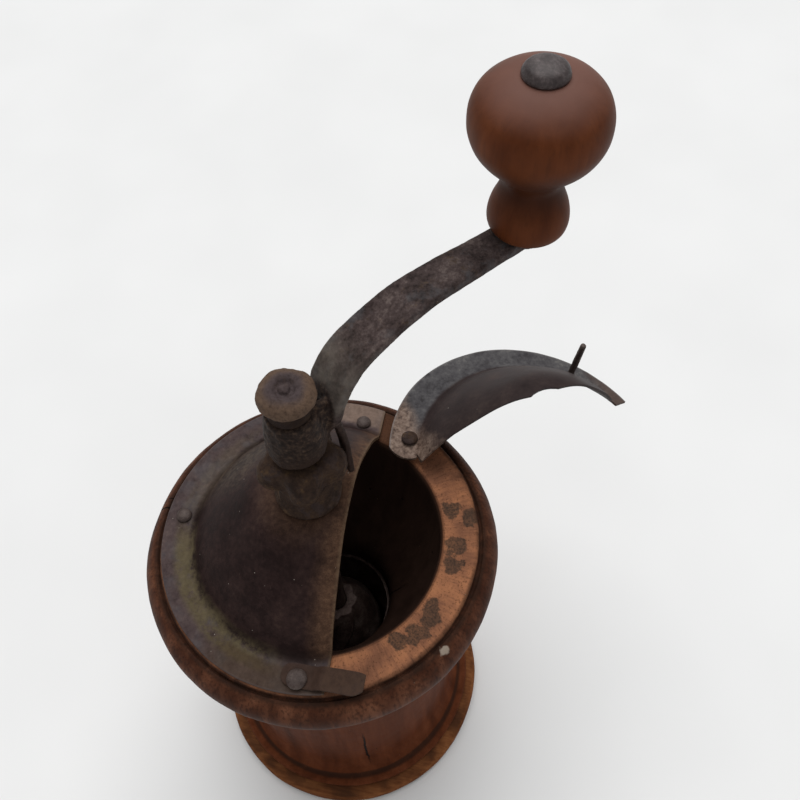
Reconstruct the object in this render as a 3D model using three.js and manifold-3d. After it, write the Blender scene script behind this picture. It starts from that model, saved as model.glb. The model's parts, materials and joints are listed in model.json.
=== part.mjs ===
// Hand crank coffee grinder: a turned wooden body with an open hopper, a domed steel cover with
// a swinging lid, a conical burr on a vertical spindle, a bent crank with a turned knob, and a
// drawer for the grounds.
// Millimetres, +Z up. The origin is the centre of the face that the grinder stands on, and Z is
// the spindle axis.
import * as THREE from "three";
import { mergeVertices } from "three/addons/utils/BufferGeometryUtils.js";
import Module from "manifold-3d";

const wasm = await Module();
wasm.setup();

// Driving dimensions
const GAP = 0.3; // running and fitting clearance
const SHEET = 1.0; // steel sheet of the cover and the lid
const SIDES = 40; // facets of a turned piece

const RIM_R = 60; // widest radius of the rim, at its equator
const RIM_Z = 142;
const RING_Z = 153.2; // flat wooden ring round the hopper mouth
const RING_R = 53.5;
const MOUTH_R = 40.5;
const WAIST_R = 45.5;
const BASE_R = 58.6;
const BASE_H = 7.2;

const CHORD_X = 12.9; // the fixed cover ends here on the X axis, and the hopper is open beyond it
const CHORD_SLOPE = 0.0325; // the straight edge runs a little askew: it nears the Y axis as Y grows
const COVER_Z = RING_Z + GAP + SHEET; // top of the cover's flange
const COVER_R = 53;
const DOME_R = 42;
const DOME_TOP_Z = 184.6;
const LID_LIFT = 2.0; // the lid swings this much above the level of the fixed cover
const LID_GROW = 1.0; // and its dome is this much larger, so it laps over the edge of the fixed dome
const LAP = 2.8; // how far the lid's dome reaches past the edge of the fixed cover
const LID_SET_BACK = 0.4; // near the pivot and along the tongue it stops short of that edge
const LID_ARC_R = 49.6; // outer arc of the lid
const LID_ARC_AT = [3.2, 2.4];
const LID_OPEN = THREE.MathUtils.degToRad(123.5);
const PIVOT = new THREE.Vector3(22.6, 40.3, COVER_Z + LID_LIFT - SHEET / 2);
const HEEL_R = 8; // rounded end of the lid round its pivot
const PIVOT_LEAN = THREE.MathUtils.degToRad(5); // the pivot nail leans outwards, so the open lid droops
const PIVOT_LEAN_TO = THREE.MathUtils.degToRad(54);

const SHAFT_R = 4;
const SHAFT_BOTTOM_Z = 56.5;
const BURR_Z = 68; // underside of the cone burr
const BURR_H = 26;
const BURR_R = 16.9;
const BORE_R = 21.4; // wooden bore that holds the ring burr
const CHAMBER_R = 28; // space for the grounds under the burrs
const CHAMBER_Z = 66;
const COLLAR_R = 10.2;
const NUT_Z = 198;
const NUT_H = 10.7;
const LOBES = 5;
const HUB_Z = 210;
const HUB_TOP_Z = 229.5;

const ARM_AZIMUTH = THREE.MathUtils.degToRad(47.8);
const NOTCH_AZIMUTH = ARM_AZIMUTH - THREE.MathUtils.degToRad(8); // the locking finger hangs in this notch
const ARM_T = 3.6;
const ARM_REACH = 79; // from the spindle axis to the knob axis
const ARM_END_Z = 247.2; // middle of the arm's thickness under the knob
const KNOB_Z = ARM_END_Z + ARM_T / 2 + GAP;
const KNOB_H = 45.8;

const DRAWER_Z = 22; // floor of the drawer's opening
const DRAWER_TOP_Z = 54.5;
const DRAWER_HALF = 25.5;
const DRAWER_DEEP = 28; // how far the opening runs past the spindle axis
const FRONT_X = -33.5; // flat inner side of the drawer front
const PANEL = 3;

const CUT_LOW = 140; // heights between which a cutter passes right through the cover or the lid
const CUT_HIGH = 200;

// Materials
const finish = (color, roughness, metalness) =>
  new THREE.MeshStandardMaterial({ color, roughness, metalness });
const DARK_WOOD = [0x5a2c1a, 0.45, 0];
const PALE_WOOD = [0x7a4a24, 0.5, 0];
const DRAWER_WOOD = [0x8a6038, 0.7, 0];
const OLD_STEEL = [0x4a403c, 0.6, 0.8];
const LID_STEEL = [0x55555a, 0.5, 0.85];
const CAST_IRON = [0x3a302a, 0.7, 0.7];
const BURR_STEEL = [0x45403e, 0.5, 0.9];

// A closed geometry as a solid that can be joined and cut.
function solid(geometry) {
  const bare = geometry.clone();
  bare.deleteAttribute("normal");
  bare.deleteAttribute("uv");
  const merged = mergeVertices(bare, 1e-3);
  const triVerts = merged.index
    ? new Uint32Array(merged.index.array)
    : Uint32Array.from({ length: merged.attributes.position.count }, (_, i) => i);
  const vertProperties = merged.attributes.position.array;
  return new wasm.Manifold(new wasm.Mesh({ numProp: 3, vertProperties, triVerts }));
}

function geometryOf(body) {
  const mesh = body.getMesh();
  const geometry = new THREE.BufferGeometry();
  geometry.setAttribute("position", new THREE.BufferAttribute(new Float32Array(mesh.vertProperties), 3));
  geometry.setIndex(new THREE.BufferAttribute(new Uint32Array(mesh.triVerts), 1));
  geometry.computeVertexNormals();
  return geometry;
}

// A turned solid from [radius, height] points, listed from the bottom up the outside.
function turned(points, sides = SIDES) {
  const profile = points.map(([r, z]) => new THREE.Vector2(r, z));
  return new THREE.LatheGeometry(profile, sides).rotateX(Math.PI / 2);
}

function box(low, high) {
  const size = high.map((value, i) => value - low[i]);
  const middle = high.map((value, i) => (value + low[i]) / 2);
  return new THREE.BoxGeometry(...size).translate(...middle);
}

function rod(radius, z0, z1, x = 0, y = 0, sides = 16) {
  return new THREE.CylinderGeometry(radius, radius, z1 - z0, sides)
    .rotateX(Math.PI / 2)
    .translate(x, y, (z0 + z1) / 2);
}

// A flat outline in the XZ plane, given thickness along Y about y = 0.
function slab(outline, width) {
  const shape = new THREE.Shape(outline.map(([x, z]) => new THREE.Vector2(x, z)));
  return new THREE.ExtrudeGeometry(shape, { depth: width, bevelEnabled: false })
    .rotateX(Math.PI / 2)
    .translate(0, width / 2, 0);
}

// A flat outline in the XY plane, drawn up into a cutter for the cover or the lid.
function planCutter(outline) {
  const shape = new THREE.Shape(outline.map(([x, y]) => new THREE.Vector2(x, y)));
  const depth = CUT_HIGH - CUT_LOW;
  return solid(new THREE.ExtrudeGeometry(shape, { depth, bevelEnabled: false }).translate(0, 0, CUT_LOW));
}

const roundCutter = (radius, x = 0, y = 0, sides = 24) =>
  solid(rod(radius, CUT_LOW, CUT_HIGH, x, y, sides));

// A curve's points moved sideways by a distance, to its left as it is walked.
function offset(points, distance) {
  return points.map(([x, z], i) => {
    const [ax, az] = points[Math.max(i - 1, 0)];
    const [bx, bz] = points[Math.min(i + 1, points.length - 1)];
    const length = Math.hypot(bx - ax, bz - az);
    return [x - ((bz - az) / length) * distance, z + ((bx - ax) / length) * distance];
  });
}

function smooth(points, count) {
  const curve = new THREE.CatmullRomCurve3(points.map(([x, z]) => new THREE.Vector3(x, 0, z)));
  return curve.getSpacedPoints(count).map((p) => [p.x, p.z]);
}

const grinder = new THREE.Group();

function add(name, shape, [color, roughness, metalness], parent = grinder) {
  const geometry = shape.isBufferGeometry ? shape : geometryOf(shape);
  const mesh = new THREE.Mesh(geometry, finish(color, roughness, metalness));
  mesh.name = name;
  parent.add(mesh);
  return mesh;
}

// Fasteners: a round-headed nail and a countersunk or pan-headed screw, each with the hole it sits in.
const NAIL_R = 1.1;
const NAIL_DEEP = 12;
const nailHole = (x, y) => solid(rod(NAIL_R + GAP, RING_Z - NAIL_DEEP - 1, RING_Z + 6, x, y, 12));

function nail(x, y, seatZ, headR = 2.6, headH = 1.5) {
  const z = seatZ + GAP;
  const points = [
    [0, RING_Z - NAIL_DEEP],
    [NAIL_R, RING_Z - NAIL_DEEP + 1.5],
    [NAIL_R, z],
    [headR, z],
    [headR * 0.95, z + headH * 0.45],
    [headR * 0.6, z + headH * 0.85],
    [0, z + headH],
  ];
  return turned(points, 12).translate(x, y, 0);
}

const LEFT_NAIL = [-46.9, -2.6];
const BACK_NAIL = [4.7, 45.2];
const CATCH_NAIL = [5.7, -48.5];
const BASE_SCREW_CIRCLE = 38;
const BASE_SCREWS = [30, 150, 270].map((degrees) => {
  const a = THREE.MathUtils.degToRad(degrees);
  return [BASE_SCREW_CIRCLE * Math.cos(a), BASE_SCREW_CIRCLE * Math.sin(a)];
});
const BRIDGE_SCREW_Y = 24.3;

// Wooden body: foot moulding, waist, cove, round rim, flat ring, hopper bowl, burr bore and chamber.
function waistAndRim() {
  return [
    [53.2, BASE_H + GAP],
    [53.6, 9],
    [51.6, 10.8],
    [49.8, 11.6],
    [48.6, 13],
    [47.6, 16.5],
    [46.6, 20],
    [WAIST_R + 0.9, 23],
    [WAIST_R + 0.5, 50],
    [WAIST_R, 80],
    [WAIST_R + 0.4, 104],
    [47.6, 114],
    [51, 122],
    [55.4, 129],
    [58.6, 135],
  ];
}

function rimAndRing() {
  return [
    [RIM_R, RIM_Z],
    [59.5, 145.8],
    [58, 148.8],
    [56, 150.9],
    [54.6, 151.5],
    [54, 150.6],
    [RING_R, 151.2],
    [52.9, RING_Z],
    [MOUTH_R + 0.7, RING_Z],
  ];
}

function hopper() {
  return [
    [MOUTH_R, RING_Z - 0.8],
    [40.2, 140],
    [38.6, 130],
    [34.6, 119],
    [28.6, 109],
    [22.8, 101],
    [BORE_R, 97],
    [BORE_R, CHAMBER_Z],
    [CHAMBER_R, CHAMBER_Z],
    [CHAMBER_R, DRAWER_TOP_Z - 0.5],
    [0, DRAWER_TOP_Z - 0.5],
  ];
}

function pivotHole() {
  return pivotNail(NAIL_R + GAP, -NAIL_DEEP - 3, 4);
}

// A rod on the leaning axis of the lid's pivot.
function pivotNail(radius, z0, z1) {
  return solid(
    rod(radius, z0, z1, 0, 0, 12)
      .applyQuaternion(new THREE.Quaternion().setFromUnitVectors(new THREE.Vector3(0, 0, 1), PIVOT_AXIS))
      .translate(...PIVOT),
  );
}

const PIVOT_AXIS = new THREE.Vector3(
  Math.sin(PIVOT_LEAN) * Math.cos(PIVOT_LEAN_TO),
  Math.sin(PIVOT_LEAN) * Math.sin(PIVOT_LEAN_TO),
  Math.cos(PIVOT_LEAN),
);

function bodyAndBase() {
  const outside = [...waistAndRim(), ...rimAndRing()];
  let body = solid(turned([[0, BASE_H + GAP], ...outside, ...hopper()]));
  const opening = box([-70, -DRAWER_HALF, DRAWER_Z], [DRAWER_DEEP, DRAWER_HALF, DRAWER_TOP_Z]);
  body = body.subtract(solid(opening)).subtract(pivotHole());
  for (const [x, y] of [LEFT_NAIL, BACK_NAIL, CATCH_NAIL]) body = body.subtract(nailHole(x, y));
  for (const y of [-BRIDGE_SCREW_Y, BRIDGE_SCREW_Y]) {
    body = body.subtract(solid(rod(1.2 + GAP, CHAMBER_Z - 1, CHAMBER_Z + 13, 0, y, 12)));
  }
  let base = solid(
    turned([
      [0, 0],
      [56.4, 0],
      [58.2, 1.5],
      [BASE_R, 4.2],
      [57.4, 6.4],
      [54.8, BASE_H],
      [0, BASE_H],
    ]),
  );
  BASE_SCREWS.forEach(([x, y], i) => {
    const hole = solid(rod(1.9 + GAP, -1, 19, x, y, 12));
    base = base.subtract(hole).subtract(solid(rod(4 + GAP, -1, 3, x, y)));
    body = body.subtract(hole);
    add(`base_screw_${i + 1}`, baseScrew().translate(x, y, 0), BURR_STEEL);
  });
  add("turned_body", body, DARK_WOOD);
  add("base_disc", base, PALE_WOOD);
}

function baseScrew() {
  return turned(
    [
      [0, 0.5],
      [4, 0.5],
      [4, 1.2],
      [1.9, 2.7],
      [1.9, 16],
      [0, 18],
    ],
    14,
  );
}

// Outer face of the dome and its flange, from the shaft hole down and out.
function coverFace(holeR, flangeR, grow) {
  const dome = [
    [10.8, DOME_TOP_Z],
    [13.2, 184.3],
    [15.8, 183.2],
    [19.8, 180.6],
    [26.6, 174.2],
    [33.4, 167.2],
    [38.4, 160.4],
    [DOME_R - 1, 155.4],
    [DOME_R + 0.6, COVER_Z],
  ];
  return [[holeR, DOME_TOP_Z], ...dome.map(([r, z]) => [r + grow, z]), [flangeR, COVER_Z]];
}

function pressedSheet(holeR, flangeR, grow = 0) {
  const face = coverFace(holeR, flangeR, grow);
  const inside = offset(face, -SHEET);
  const closed = [...face, ...inside.reverse(), face[0]];
  return turned(closed.reverse());
}

// Where the straight edge of the fixed cover lies at a given Y.
const edgeX = (y) => CHORD_X - CHORD_SLOPE * y;

function openSide() {
  return planCutter([
    [edgeX(-70), -70],
    [80, -70],
    [80, 70],
    [edgeX(70), 70],
  ]);
}

function fixedCover() {
  let cover = solid(pressedSheet(6 + GAP, COVER_R));
  cover = cover.subtract(openSide());
  cover = cover.subtract(roundCutter(HEEL_R + 1.4, PIVOT.x, PIVOT.y));
  for (const [x, y] of [LEFT_NAIL, BACK_NAIL, CATCH_NAIL]) cover = cover.subtract(nailHole(x, y));
  add("fixed_cover", cover, OLD_STEEL);
  add("cover_nail_left", nail(...LEFT_NAIL, COVER_Z), OLD_STEEL);
  add("cover_nail_back", nail(...BACK_NAIL, COVER_Z), OLD_STEEL);
}

// Spring clip that the closed lid's tongue slides under.
function lidCatch() {
  const z = COVER_Z + GAP;
  const t = 0.9;
  const lift = LID_LIFT + 0.5;
  const under = [
    [0.3, z],
    [10.2, z],
    [13.2, z + lift],
    [26.5, z + lift + 0.5],
  ];
  const over = offset(under, t).reverse();
  const strip = slab([...under, ...over], 7.4).translate(0, -47.2, 0);
  add("lid_catch", solid(strip).subtract(nailHole(...CATCH_NAIL)), OLD_STEEL);
  add("catch_nail", nail(...CATCH_NAIL, z + t, 3.2, 1.4), OLD_STEEL);
}

// Plan of what is cut away from the lid beside the fixed cover, leaving the lap in the middle.
function besideLid() {
  return planCutter([
    [-70, -70],
    [edgeX(-70) + LID_SET_BACK, -70],
    [edgeX(-44) + LID_SET_BACK, -44],
    [edgeX(-18) - LAP, -18],
    [edgeX(6) - LAP, 6],
    [edgeX(30) + LID_SET_BACK, 30],
    [edgeX(70) + LID_SET_BACK, 70],
    [-70, 70],
  ]);
}

// The lid's dome stops short of its far end, which is left as a flat tongue for the catch.
function domeEnd() {
  return planCutter([
    [-70, -70],
    [70, -70],
    [70, -33.7],
    [27.3, -33.7],
    [10, -37.5],
    [-70, -37.5],
  ]).intersect(roundCutter(DOME_R + LID_GROW + 0.4, 0, 0, 48));
}

// The lid is shaped where it lies when closed, then swung open about its pivot.
function swingLid() {
  const sheet = solid(pressedSheet(10, 60, LID_GROW).translate(0, 0, LID_LIFT));
  const outline = sheet.intersect(roundCutter(LID_ARC_R, ...LID_ARC_AT, 48));
  const behindPivot = solid(box([-70, PIVOT.y, CUT_LOW], [PIVOT.x, 70, CUT_HIGH]));
  const segment = outline
    .subtract(besideLid())
    .subtract(domeEnd())
    .subtract(behindPivot)
    .subtract(roundCutter(COLLAR_R + 1));
  const heel = outline
    .intersect(roundCutter(HEEL_R, PIVOT.x, PIVOT.y))
    .subtract(roundCutter(DOME_R + LID_GROW + 0.3, 0, 0, 16));
  const pin = [32.6, -31];
  const lid = segment
    .add(heel)
    .subtract(roundCutter(NAIL_R + 0.7, PIVOT.x, PIVOT.y, 12))
    .subtract(roundCutter(1.25 + GAP, ...pin, 12));
  const swing = new THREE.Group();
  swing.position.copy(PIVOT);
  swing.quaternion.setFromAxisAngle(PIVOT_AXIS, LID_OPEN);
  grinder.add(swing);
  const back = PIVOT.clone().negate();
  add("swing_lid", geometryOf(lid).translate(...back), LID_STEEL, swing);
  const underside = COVER_Z + LID_LIFT - SHEET;
  const stem = turned(
    [
      [0, underside + 0.1],
      [1.25, underside + 0.1],
      [1.25, underside + 18.2],
      [0.9, underside + 18.8],
      [0, underside + 19],
    ],
    10,
  );
  add("lid_pin", stem.translate(...pin, 0).translate(...back), OLD_STEEL, swing);
  const shank = pivotNail(NAIL_R, -NAIL_DEEP, 1.4);
  add("lid_pivot_nail", shank.add(pivotNail(2.9, 1.2, 2.3)), OLD_STEEL);
}

// Spindle, its upper bearing, and the lobed nut that sets the grind.
function spindleStack() {
  add(
    "spindle",
    turned(
      [
        [0, SHAFT_BOTTOM_Z],
        [SHAFT_R - 0.8, SHAFT_BOTTOM_Z],
        [SHAFT_R, SHAFT_BOTTOM_Z + 0.8],
        [SHAFT_R, 234.8],
        [SHAFT_R - 0.8, 235.6],
        [0, 235.6],
      ],
      20,
    ),
    BURR_STEEL,
  );
  const bore = SHAFT_R + GAP;
  const seat = DOME_TOP_Z + GAP;
  add(
    "bearing_collar",
    turned(
      [
        [bore, seat - 4],
        [6, seat - 4],
        [6, seat],
        [10, seat],
        [COLLAR_R, seat + 1.4],
        [9.6, seat + 3.6],
        [8.6, seat + 7],
        [8.2, NUT_Z - GAP],
        [bore, NUT_Z - GAP],
        [bore, seat - 4],
      ],
      24,
    ),
    CAST_IRON,
  );
  add("adjusting_nut", adjustingNut(), CAST_IRON);
  add(
    "cap_nut",
    turned(
      [
        [bore, HUB_TOP_Z + GAP],
        [6.3, HUB_TOP_Z + GAP],
        [6.3, 234],
        [7.3, 235],
        [7.85, 236.3],
        [7.5, 238.2],
        [5.8, 239.5],
        [3, 240.1],
        [0, 240.2],
        [0, 236.5],
        [bore, 236.5],
        [bore, HUB_TOP_Z + GAP],
      ],
      28,
    ),
    CAST_IRON,
  );
}

// The crank's locking finger hangs in one of the notches between the lobes.
function adjustingNut() {
  const outline = new THREE.Shape();
  const steps = LOBES * 8;
  for (let i = 0; i < steps; i++) {
    const a = (i / steps) * 2 * Math.PI;
    const r = 11.7 - 1.7 * Math.cos(LOBES * a);
    const place = [r * Math.cos(a + NOTCH_AZIMUTH), r * Math.sin(a + NOTCH_AZIMUTH)];
    if (i === 0) outline.moveTo(...place);
    else outline.lineTo(...place);
  }
  const prism = new THREE.ExtrudeGeometry(outline, { depth: NUT_H, bevelEnabled: false });
  const envelope = turned(
    [
      [0, NUT_Z],
      [9.8, NUT_Z],
      [13, NUT_Z + 2.4],
      [13.4, NUT_Z + 5],
      [12.9, NUT_Z + 8.2],
      [10.2, NUT_Z + NUT_H],
      [0, NUT_Z + NUT_H],
    ],
    30,
  );
  return solid(prism.translate(0, 0, NUT_Z))
    .intersect(solid(envelope))
    .subtract(solid(rod(SHAFT_R + GAP, NUT_Z - 1, NUT_Z + NUT_H + 1, 0, 0, 20)));
}

// The arm's side outline, bent up from the hub and over to the knob. It is narrow at the hub, widest
// at the bend, and tapers in width from there to the knob.
function armBar() {
  const middle = smooth(
    [
      [6.4, 213],
      [9.8, 219],
      [12.4, 229.5],
      [19, 238.2],
      [28, 242.8],
      [37, 245.8],
      [46, 247.1],
      [56, ARM_END_Z],
      [66, ARM_END_Z],
      [ARM_REACH, ARM_END_Z],
    ],
    22,
  );
  const outline = [...offset(middle, -ARM_T / 2), ...offset(middle, ARM_T / 2).reverse()];
  const bar = slab(outline, 1);
  const places = bar.attributes.position;
  for (let i = 0; i < places.count; i++) {
    const root = THREE.MathUtils.smoothstep(places.getX(i), 6.5, 12.5);
    const outer = THREE.MathUtils.clamp((places.getX(i) - 13) / (ARM_REACH - 13), 0, 1);
    const width = THREE.MathUtils.lerp(14, 9.6, outer) * THREE.MathUtils.lerp(0.4, 1, root);
    places.setY(i, places.getY(i) * width);
  }
  return bar;
}

function crankArm() {
  const finger = slab(
    [
      [6, 214.5],
      [6, 228.5],
      [9.2, 229.2],
      [11, 225.5],
      [12, 219],
      [13.4, 211.5],
      [14.2, 203],
      [14.6, 187.2],
      [12.8, 187],
      [12.4, 203],
      [11.4, 210.5],
      [9, 214.5],
    ],
    4.4,
  ).translate(0, -2.2, 0);
  const hub = turned(
    [
      [0, HUB_Z],
      [7, HUB_Z],
      [8, HUB_Z + 1.8],
      [8.5, HUB_Z + 6],
      [8.2, HUB_Z + 11],
      [7.1, HUB_TOP_Z - 1.2],
      [6.6, HUB_TOP_Z],
      [0, HUB_TOP_Z],
    ],
    28,
  );
  const eye = rod(6.4, ARM_END_Z - ARM_T / 2, ARM_END_Z + ARM_T / 2, ARM_REACH, 0, 24);
  const crank = solid(hub)
    .add(solid(armBar()))
    .add(solid(finger))
    .add(solid(eye))
    .subtract(solid(rod(SHAFT_R + GAP, HUB_Z - 1, HUB_TOP_Z + 1, 0, 0, 20)))
    .subtract(solid(rod(2.4 + GAP, 240, 260, ARM_REACH, 0)));
  add("crank_arm", geometryOf(crank).rotateZ(ARM_AZIMUTH), OLD_STEEL);
}

// The knob turns on a headed bolt that is riveted under the arm.
function knobAndBolt() {
  const holder = new THREE.Group();
  holder.position.set(ARM_REACH * Math.cos(ARM_AZIMUTH), ARM_REACH * Math.sin(ARM_AZIMUTH), KNOB_Z);
  grinder.add(holder);
  const bore = 2.3 + GAP;
  const knob = turned(
    [
      [bore, 0],
      [8.9, 0],
      [10.4, 1],
      [11, 3],
      [10.9, 5.6],
      [10.1, 8.6],
      [8.9, 11.4],
      [7.7, 14],
      [7.2, 15.8],
      [7.6, 17.2],
      [9.4, 19.2],
      [12.6, 22.2],
      [15.8, 26.2],
      [17.3, 30],
      [17.6, 32.4],
      [17.2, 36],
      [15.5, 40],
      [12.6, 43],
      [9.2, 45],
      [6.8, KNOB_H],
      [bore, KNOB_H],
      [bore, 0],
    ],
    36,
  );
  add("knob", knob, DARK_WOOD, holder);
  const head = KNOB_H + GAP;
  const tail = -GAP - ARM_T;
  const bolt = turned(
    [
      [0, tail - 2],
      [2.6, tail - 1.7],
      [4, tail - GAP],
      [2.3, tail - GAP],
      [2.3, head],
      [5.8, head],
      [5.6, head + 1.3],
      [3.8, head + 2.6],
      [0, head + 3.2],
    ],
    20,
  );
  add("knob_bolt", bolt, CAST_IRON, holder);
}

// Conical burr with spiral teeth, the ring burr round it, and the bridge that carries the spindle's foot.
function burrs() {
  const teeth = 8;
  const twist = 0.05;
  const rows = [0, 3, 8, 13, 18, 23, BURR_H];
  const radii = [BURR_R, BURR_R, 16, 14.8, 13, 10.6, 8.4];
  const cone = turned([[0, 0], ...rows.map((z, i) => [radii[i], z]), [0, BURR_H]], teeth * 5);
  const places = cone.attributes.position;
  for (let i = 0; i < places.count; i++) {
    const [x, y, z] = [places.getX(i), places.getY(i), places.getZ(i)];
    const depth = THREE.MathUtils.clamp(z / 8, 0, 1);
    const cut = 1 - 0.09 * depth * (1 + Math.cos(teeth * (Math.atan2(y, x) - twist * z)));
    places.setXY(i, x * cut, y * cut);
  }
  const bored = solid(cone.translate(0, 0, BURR_Z)).subtract(solid(rod(SHAFT_R + GAP, 60, 100, 0, 0, 20)));
  add("cone_burr", bored, BURR_STEEL);
  const nut = solid(rod(6.5, BURR_Z - GAP - 4.5, BURR_Z - GAP, 0, 0, 6));
  add("burr_nut", nut.subtract(solid(rod(SHAFT_R + GAP, 60, 70, 0, 0, 20))), BURR_STEEL);
  const flangeR = CHAMBER_R - GAP;
  const flangeTop = CHAMBER_Z - GAP;
  const ring = turned([
    [BURR_R + 1.1, flangeTop - 3],
    [flangeR, flangeTop - 3],
    [flangeR, flangeTop],
    [BORE_R - GAP, flangeTop],
    [BORE_R - GAP, 90],
    [19.8, 90],
    [BURR_R + 0.9, 72],
    [BURR_R + 1.1, flangeTop - 3],
  ]);
  let ringBurr = solid(ring);
  let bridge = burrBridge(flangeTop - 3 - GAP);
  [-BRIDGE_SCREW_Y, BRIDGE_SCREW_Y].forEach((y, i) => {
    const hole = solid(rod(1.2 + GAP, 50, 90, 0, y, 12));
    ringBurr = ringBurr.subtract(hole);
    bridge = bridge.subtract(hole);
    add(`bridge_screw_${i + 1}`, bridgeScrew(flangeTop - 6).translate(0, y, 0), BURR_STEEL);
  });
  add("ring_burr", ringBurr, BURR_STEEL);
  add("burr_bridge", bridge, OLD_STEEL);
}

function burrBridge(topZ) {
  const foot = topZ - 2.4;
  const bottom = 55;
  const outline = [
    [-27, foot],
    [-20.8, foot],
    [-18.6, bottom],
    [18.6, bottom],
    [20.8, foot],
    [27, foot],
    [27, topZ],
    [19, topZ],
    [16.6, bottom + 2.3],
    [-16.6, bottom + 2.3],
    [-19, topZ],
    [-27, topZ],
  ];
  const strap = slab(outline, 10).rotateZ(Math.PI / 2);
  return solid(strap)
    .add(solid(rod(6.6, bottom, bottom + 4, 0, 0, 20)))
    .subtract(solid(rod(SHAFT_R + GAP, bottom - 1, bottom + 5, 0, 0, 20)));
}

function bridgeScrew(seatZ) {
  const headTop = seatZ - 0.6;
  return turned(
    [
      [0, headTop - 1.6],
      [1.6, headTop - 1.5],
      [2.6, headTop - 0.6],
      [2.6, headTop],
      [1.2, headTop],
      [1.2, CHAMBER_Z + 11],
      [0, CHAMBER_Z + 12.4],
    ],
    14,
  );
}

// Drawer: a front that follows the waist, four thin boards and a turned knob.
function drawer() {
  const low = DRAWER_Z + 0.5;
  const high = DRAWER_TOP_Z - 0.5;
  const half = DRAWER_HALF - 0.5;
  const waist = solid(turned([[0, BASE_H + GAP], ...waistAndRim(), [0, 135]]));
  const knobZ = (low + high) / 2;
  const knobHole = solid(
    rod(1.6 + GAP, 0, 30, 0, 0, 12)
      .rotateY(-Math.PI / 2)
      .translate(-25, 0, knobZ),
  );
  const front = waist.intersect(solid(box([-60, -half, low], [FRONT_X, half, high]))).subtract(knobHole);
  add("drawer_front", front, DARK_WOOD);
  const frontGap = FRONT_X + GAP;
  const backX = DRAWER_DEEP - 1.5;
  const top = high - 4.5;
  for (const [name, y] of [
    ["drawer_left_side", half - PANEL],
    ["drawer_right_side", -half],
  ]) {
    add(name, box([frontGap, y, low], [backX, y + PANEL, top]), DRAWER_WOOD);
  }
  const inner = half - PANEL - GAP;
  add("drawer_back", box([backX - PANEL, -inner, low], [backX, inner, top]), DRAWER_WOOD);
  add("drawer_bottom", box([frontGap, -inner, low], [backX - PANEL - GAP, inner, low + PANEL]), DRAWER_WOOD);
  const stud = turned(
    [
      [1.6 + GAP, 0],
      [5, 0],
      [3.6, 2.6],
      [3.4, 4.4],
      [6.4, 7.6],
      [7, 10],
      [5.4, 12.4],
      [0, 13.4],
      [0, 8.5],
      [1.6 + GAP, 8.5],
      [1.6 + GAP, 0],
    ],
    20,
  );
  const frontX = -WAIST_R - 0.9;
  add("drawer_knob", stud.rotateY(-Math.PI / 2).translate(frontX, 0, knobZ), DARK_WOOD);
  const screw = turned(
    [
      [0, 0],
      [3, 0.5],
      [3.2, 1.6],
      [1.6, 1.6],
      [1.6, 20],
      [0, 21],
    ],
    14,
  );
  add("drawer_knob_screw", screw.rotateY(-Math.PI / 2).translate(FRONT_X + 2, 0, knobZ), BURR_STEEL);
}

bodyAndBase();
fixedCover();
lidCatch();
swingLid();
spindleStack();
crankArm();
knobAndBolt();
burrs();
drawer();

export default grinder;
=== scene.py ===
import json
import math

import bpy
import numpy as np
from mathutils import Matrix, Vector, noise


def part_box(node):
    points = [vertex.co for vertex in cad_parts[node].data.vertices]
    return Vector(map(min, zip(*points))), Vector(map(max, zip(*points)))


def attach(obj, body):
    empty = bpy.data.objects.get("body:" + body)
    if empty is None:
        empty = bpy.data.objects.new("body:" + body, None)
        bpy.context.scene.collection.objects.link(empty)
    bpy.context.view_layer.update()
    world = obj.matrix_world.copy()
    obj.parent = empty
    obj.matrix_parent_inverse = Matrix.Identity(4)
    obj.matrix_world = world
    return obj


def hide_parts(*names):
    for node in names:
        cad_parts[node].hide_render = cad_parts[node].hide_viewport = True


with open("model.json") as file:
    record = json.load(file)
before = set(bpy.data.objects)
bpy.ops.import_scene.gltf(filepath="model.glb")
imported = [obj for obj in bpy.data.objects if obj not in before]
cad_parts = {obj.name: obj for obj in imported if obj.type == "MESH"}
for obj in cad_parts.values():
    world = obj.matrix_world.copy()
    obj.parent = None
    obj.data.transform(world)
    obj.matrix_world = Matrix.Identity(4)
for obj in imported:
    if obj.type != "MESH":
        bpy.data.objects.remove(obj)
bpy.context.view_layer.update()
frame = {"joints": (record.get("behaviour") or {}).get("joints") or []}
SCENE = bpy.context.scene

MM = 0.001
STEPS = 256  # segments of a large turned piece
VOXEL = 0.4  # millimetres

# Places in the CAD frame, in millimetres.
JOINTS = {joint["name"]: joint for joint in frame["joints"]}
PIVOT = Vector(JOINTS["lid_swing"]["pos_m"]) / MM
LID_AXIS = Vector(JOINTS["lid_swing"]["axis"]).normalized()
LID_OPEN = math.radians(-JOINTS["lid_swing"]["range_deg"][0])
KNOB_AT = Vector(JOINTS["knob_spin"]["pos_m"]) / MM


def corners(node):
    low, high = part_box(node)
    return low / MM, high / MM


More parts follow.
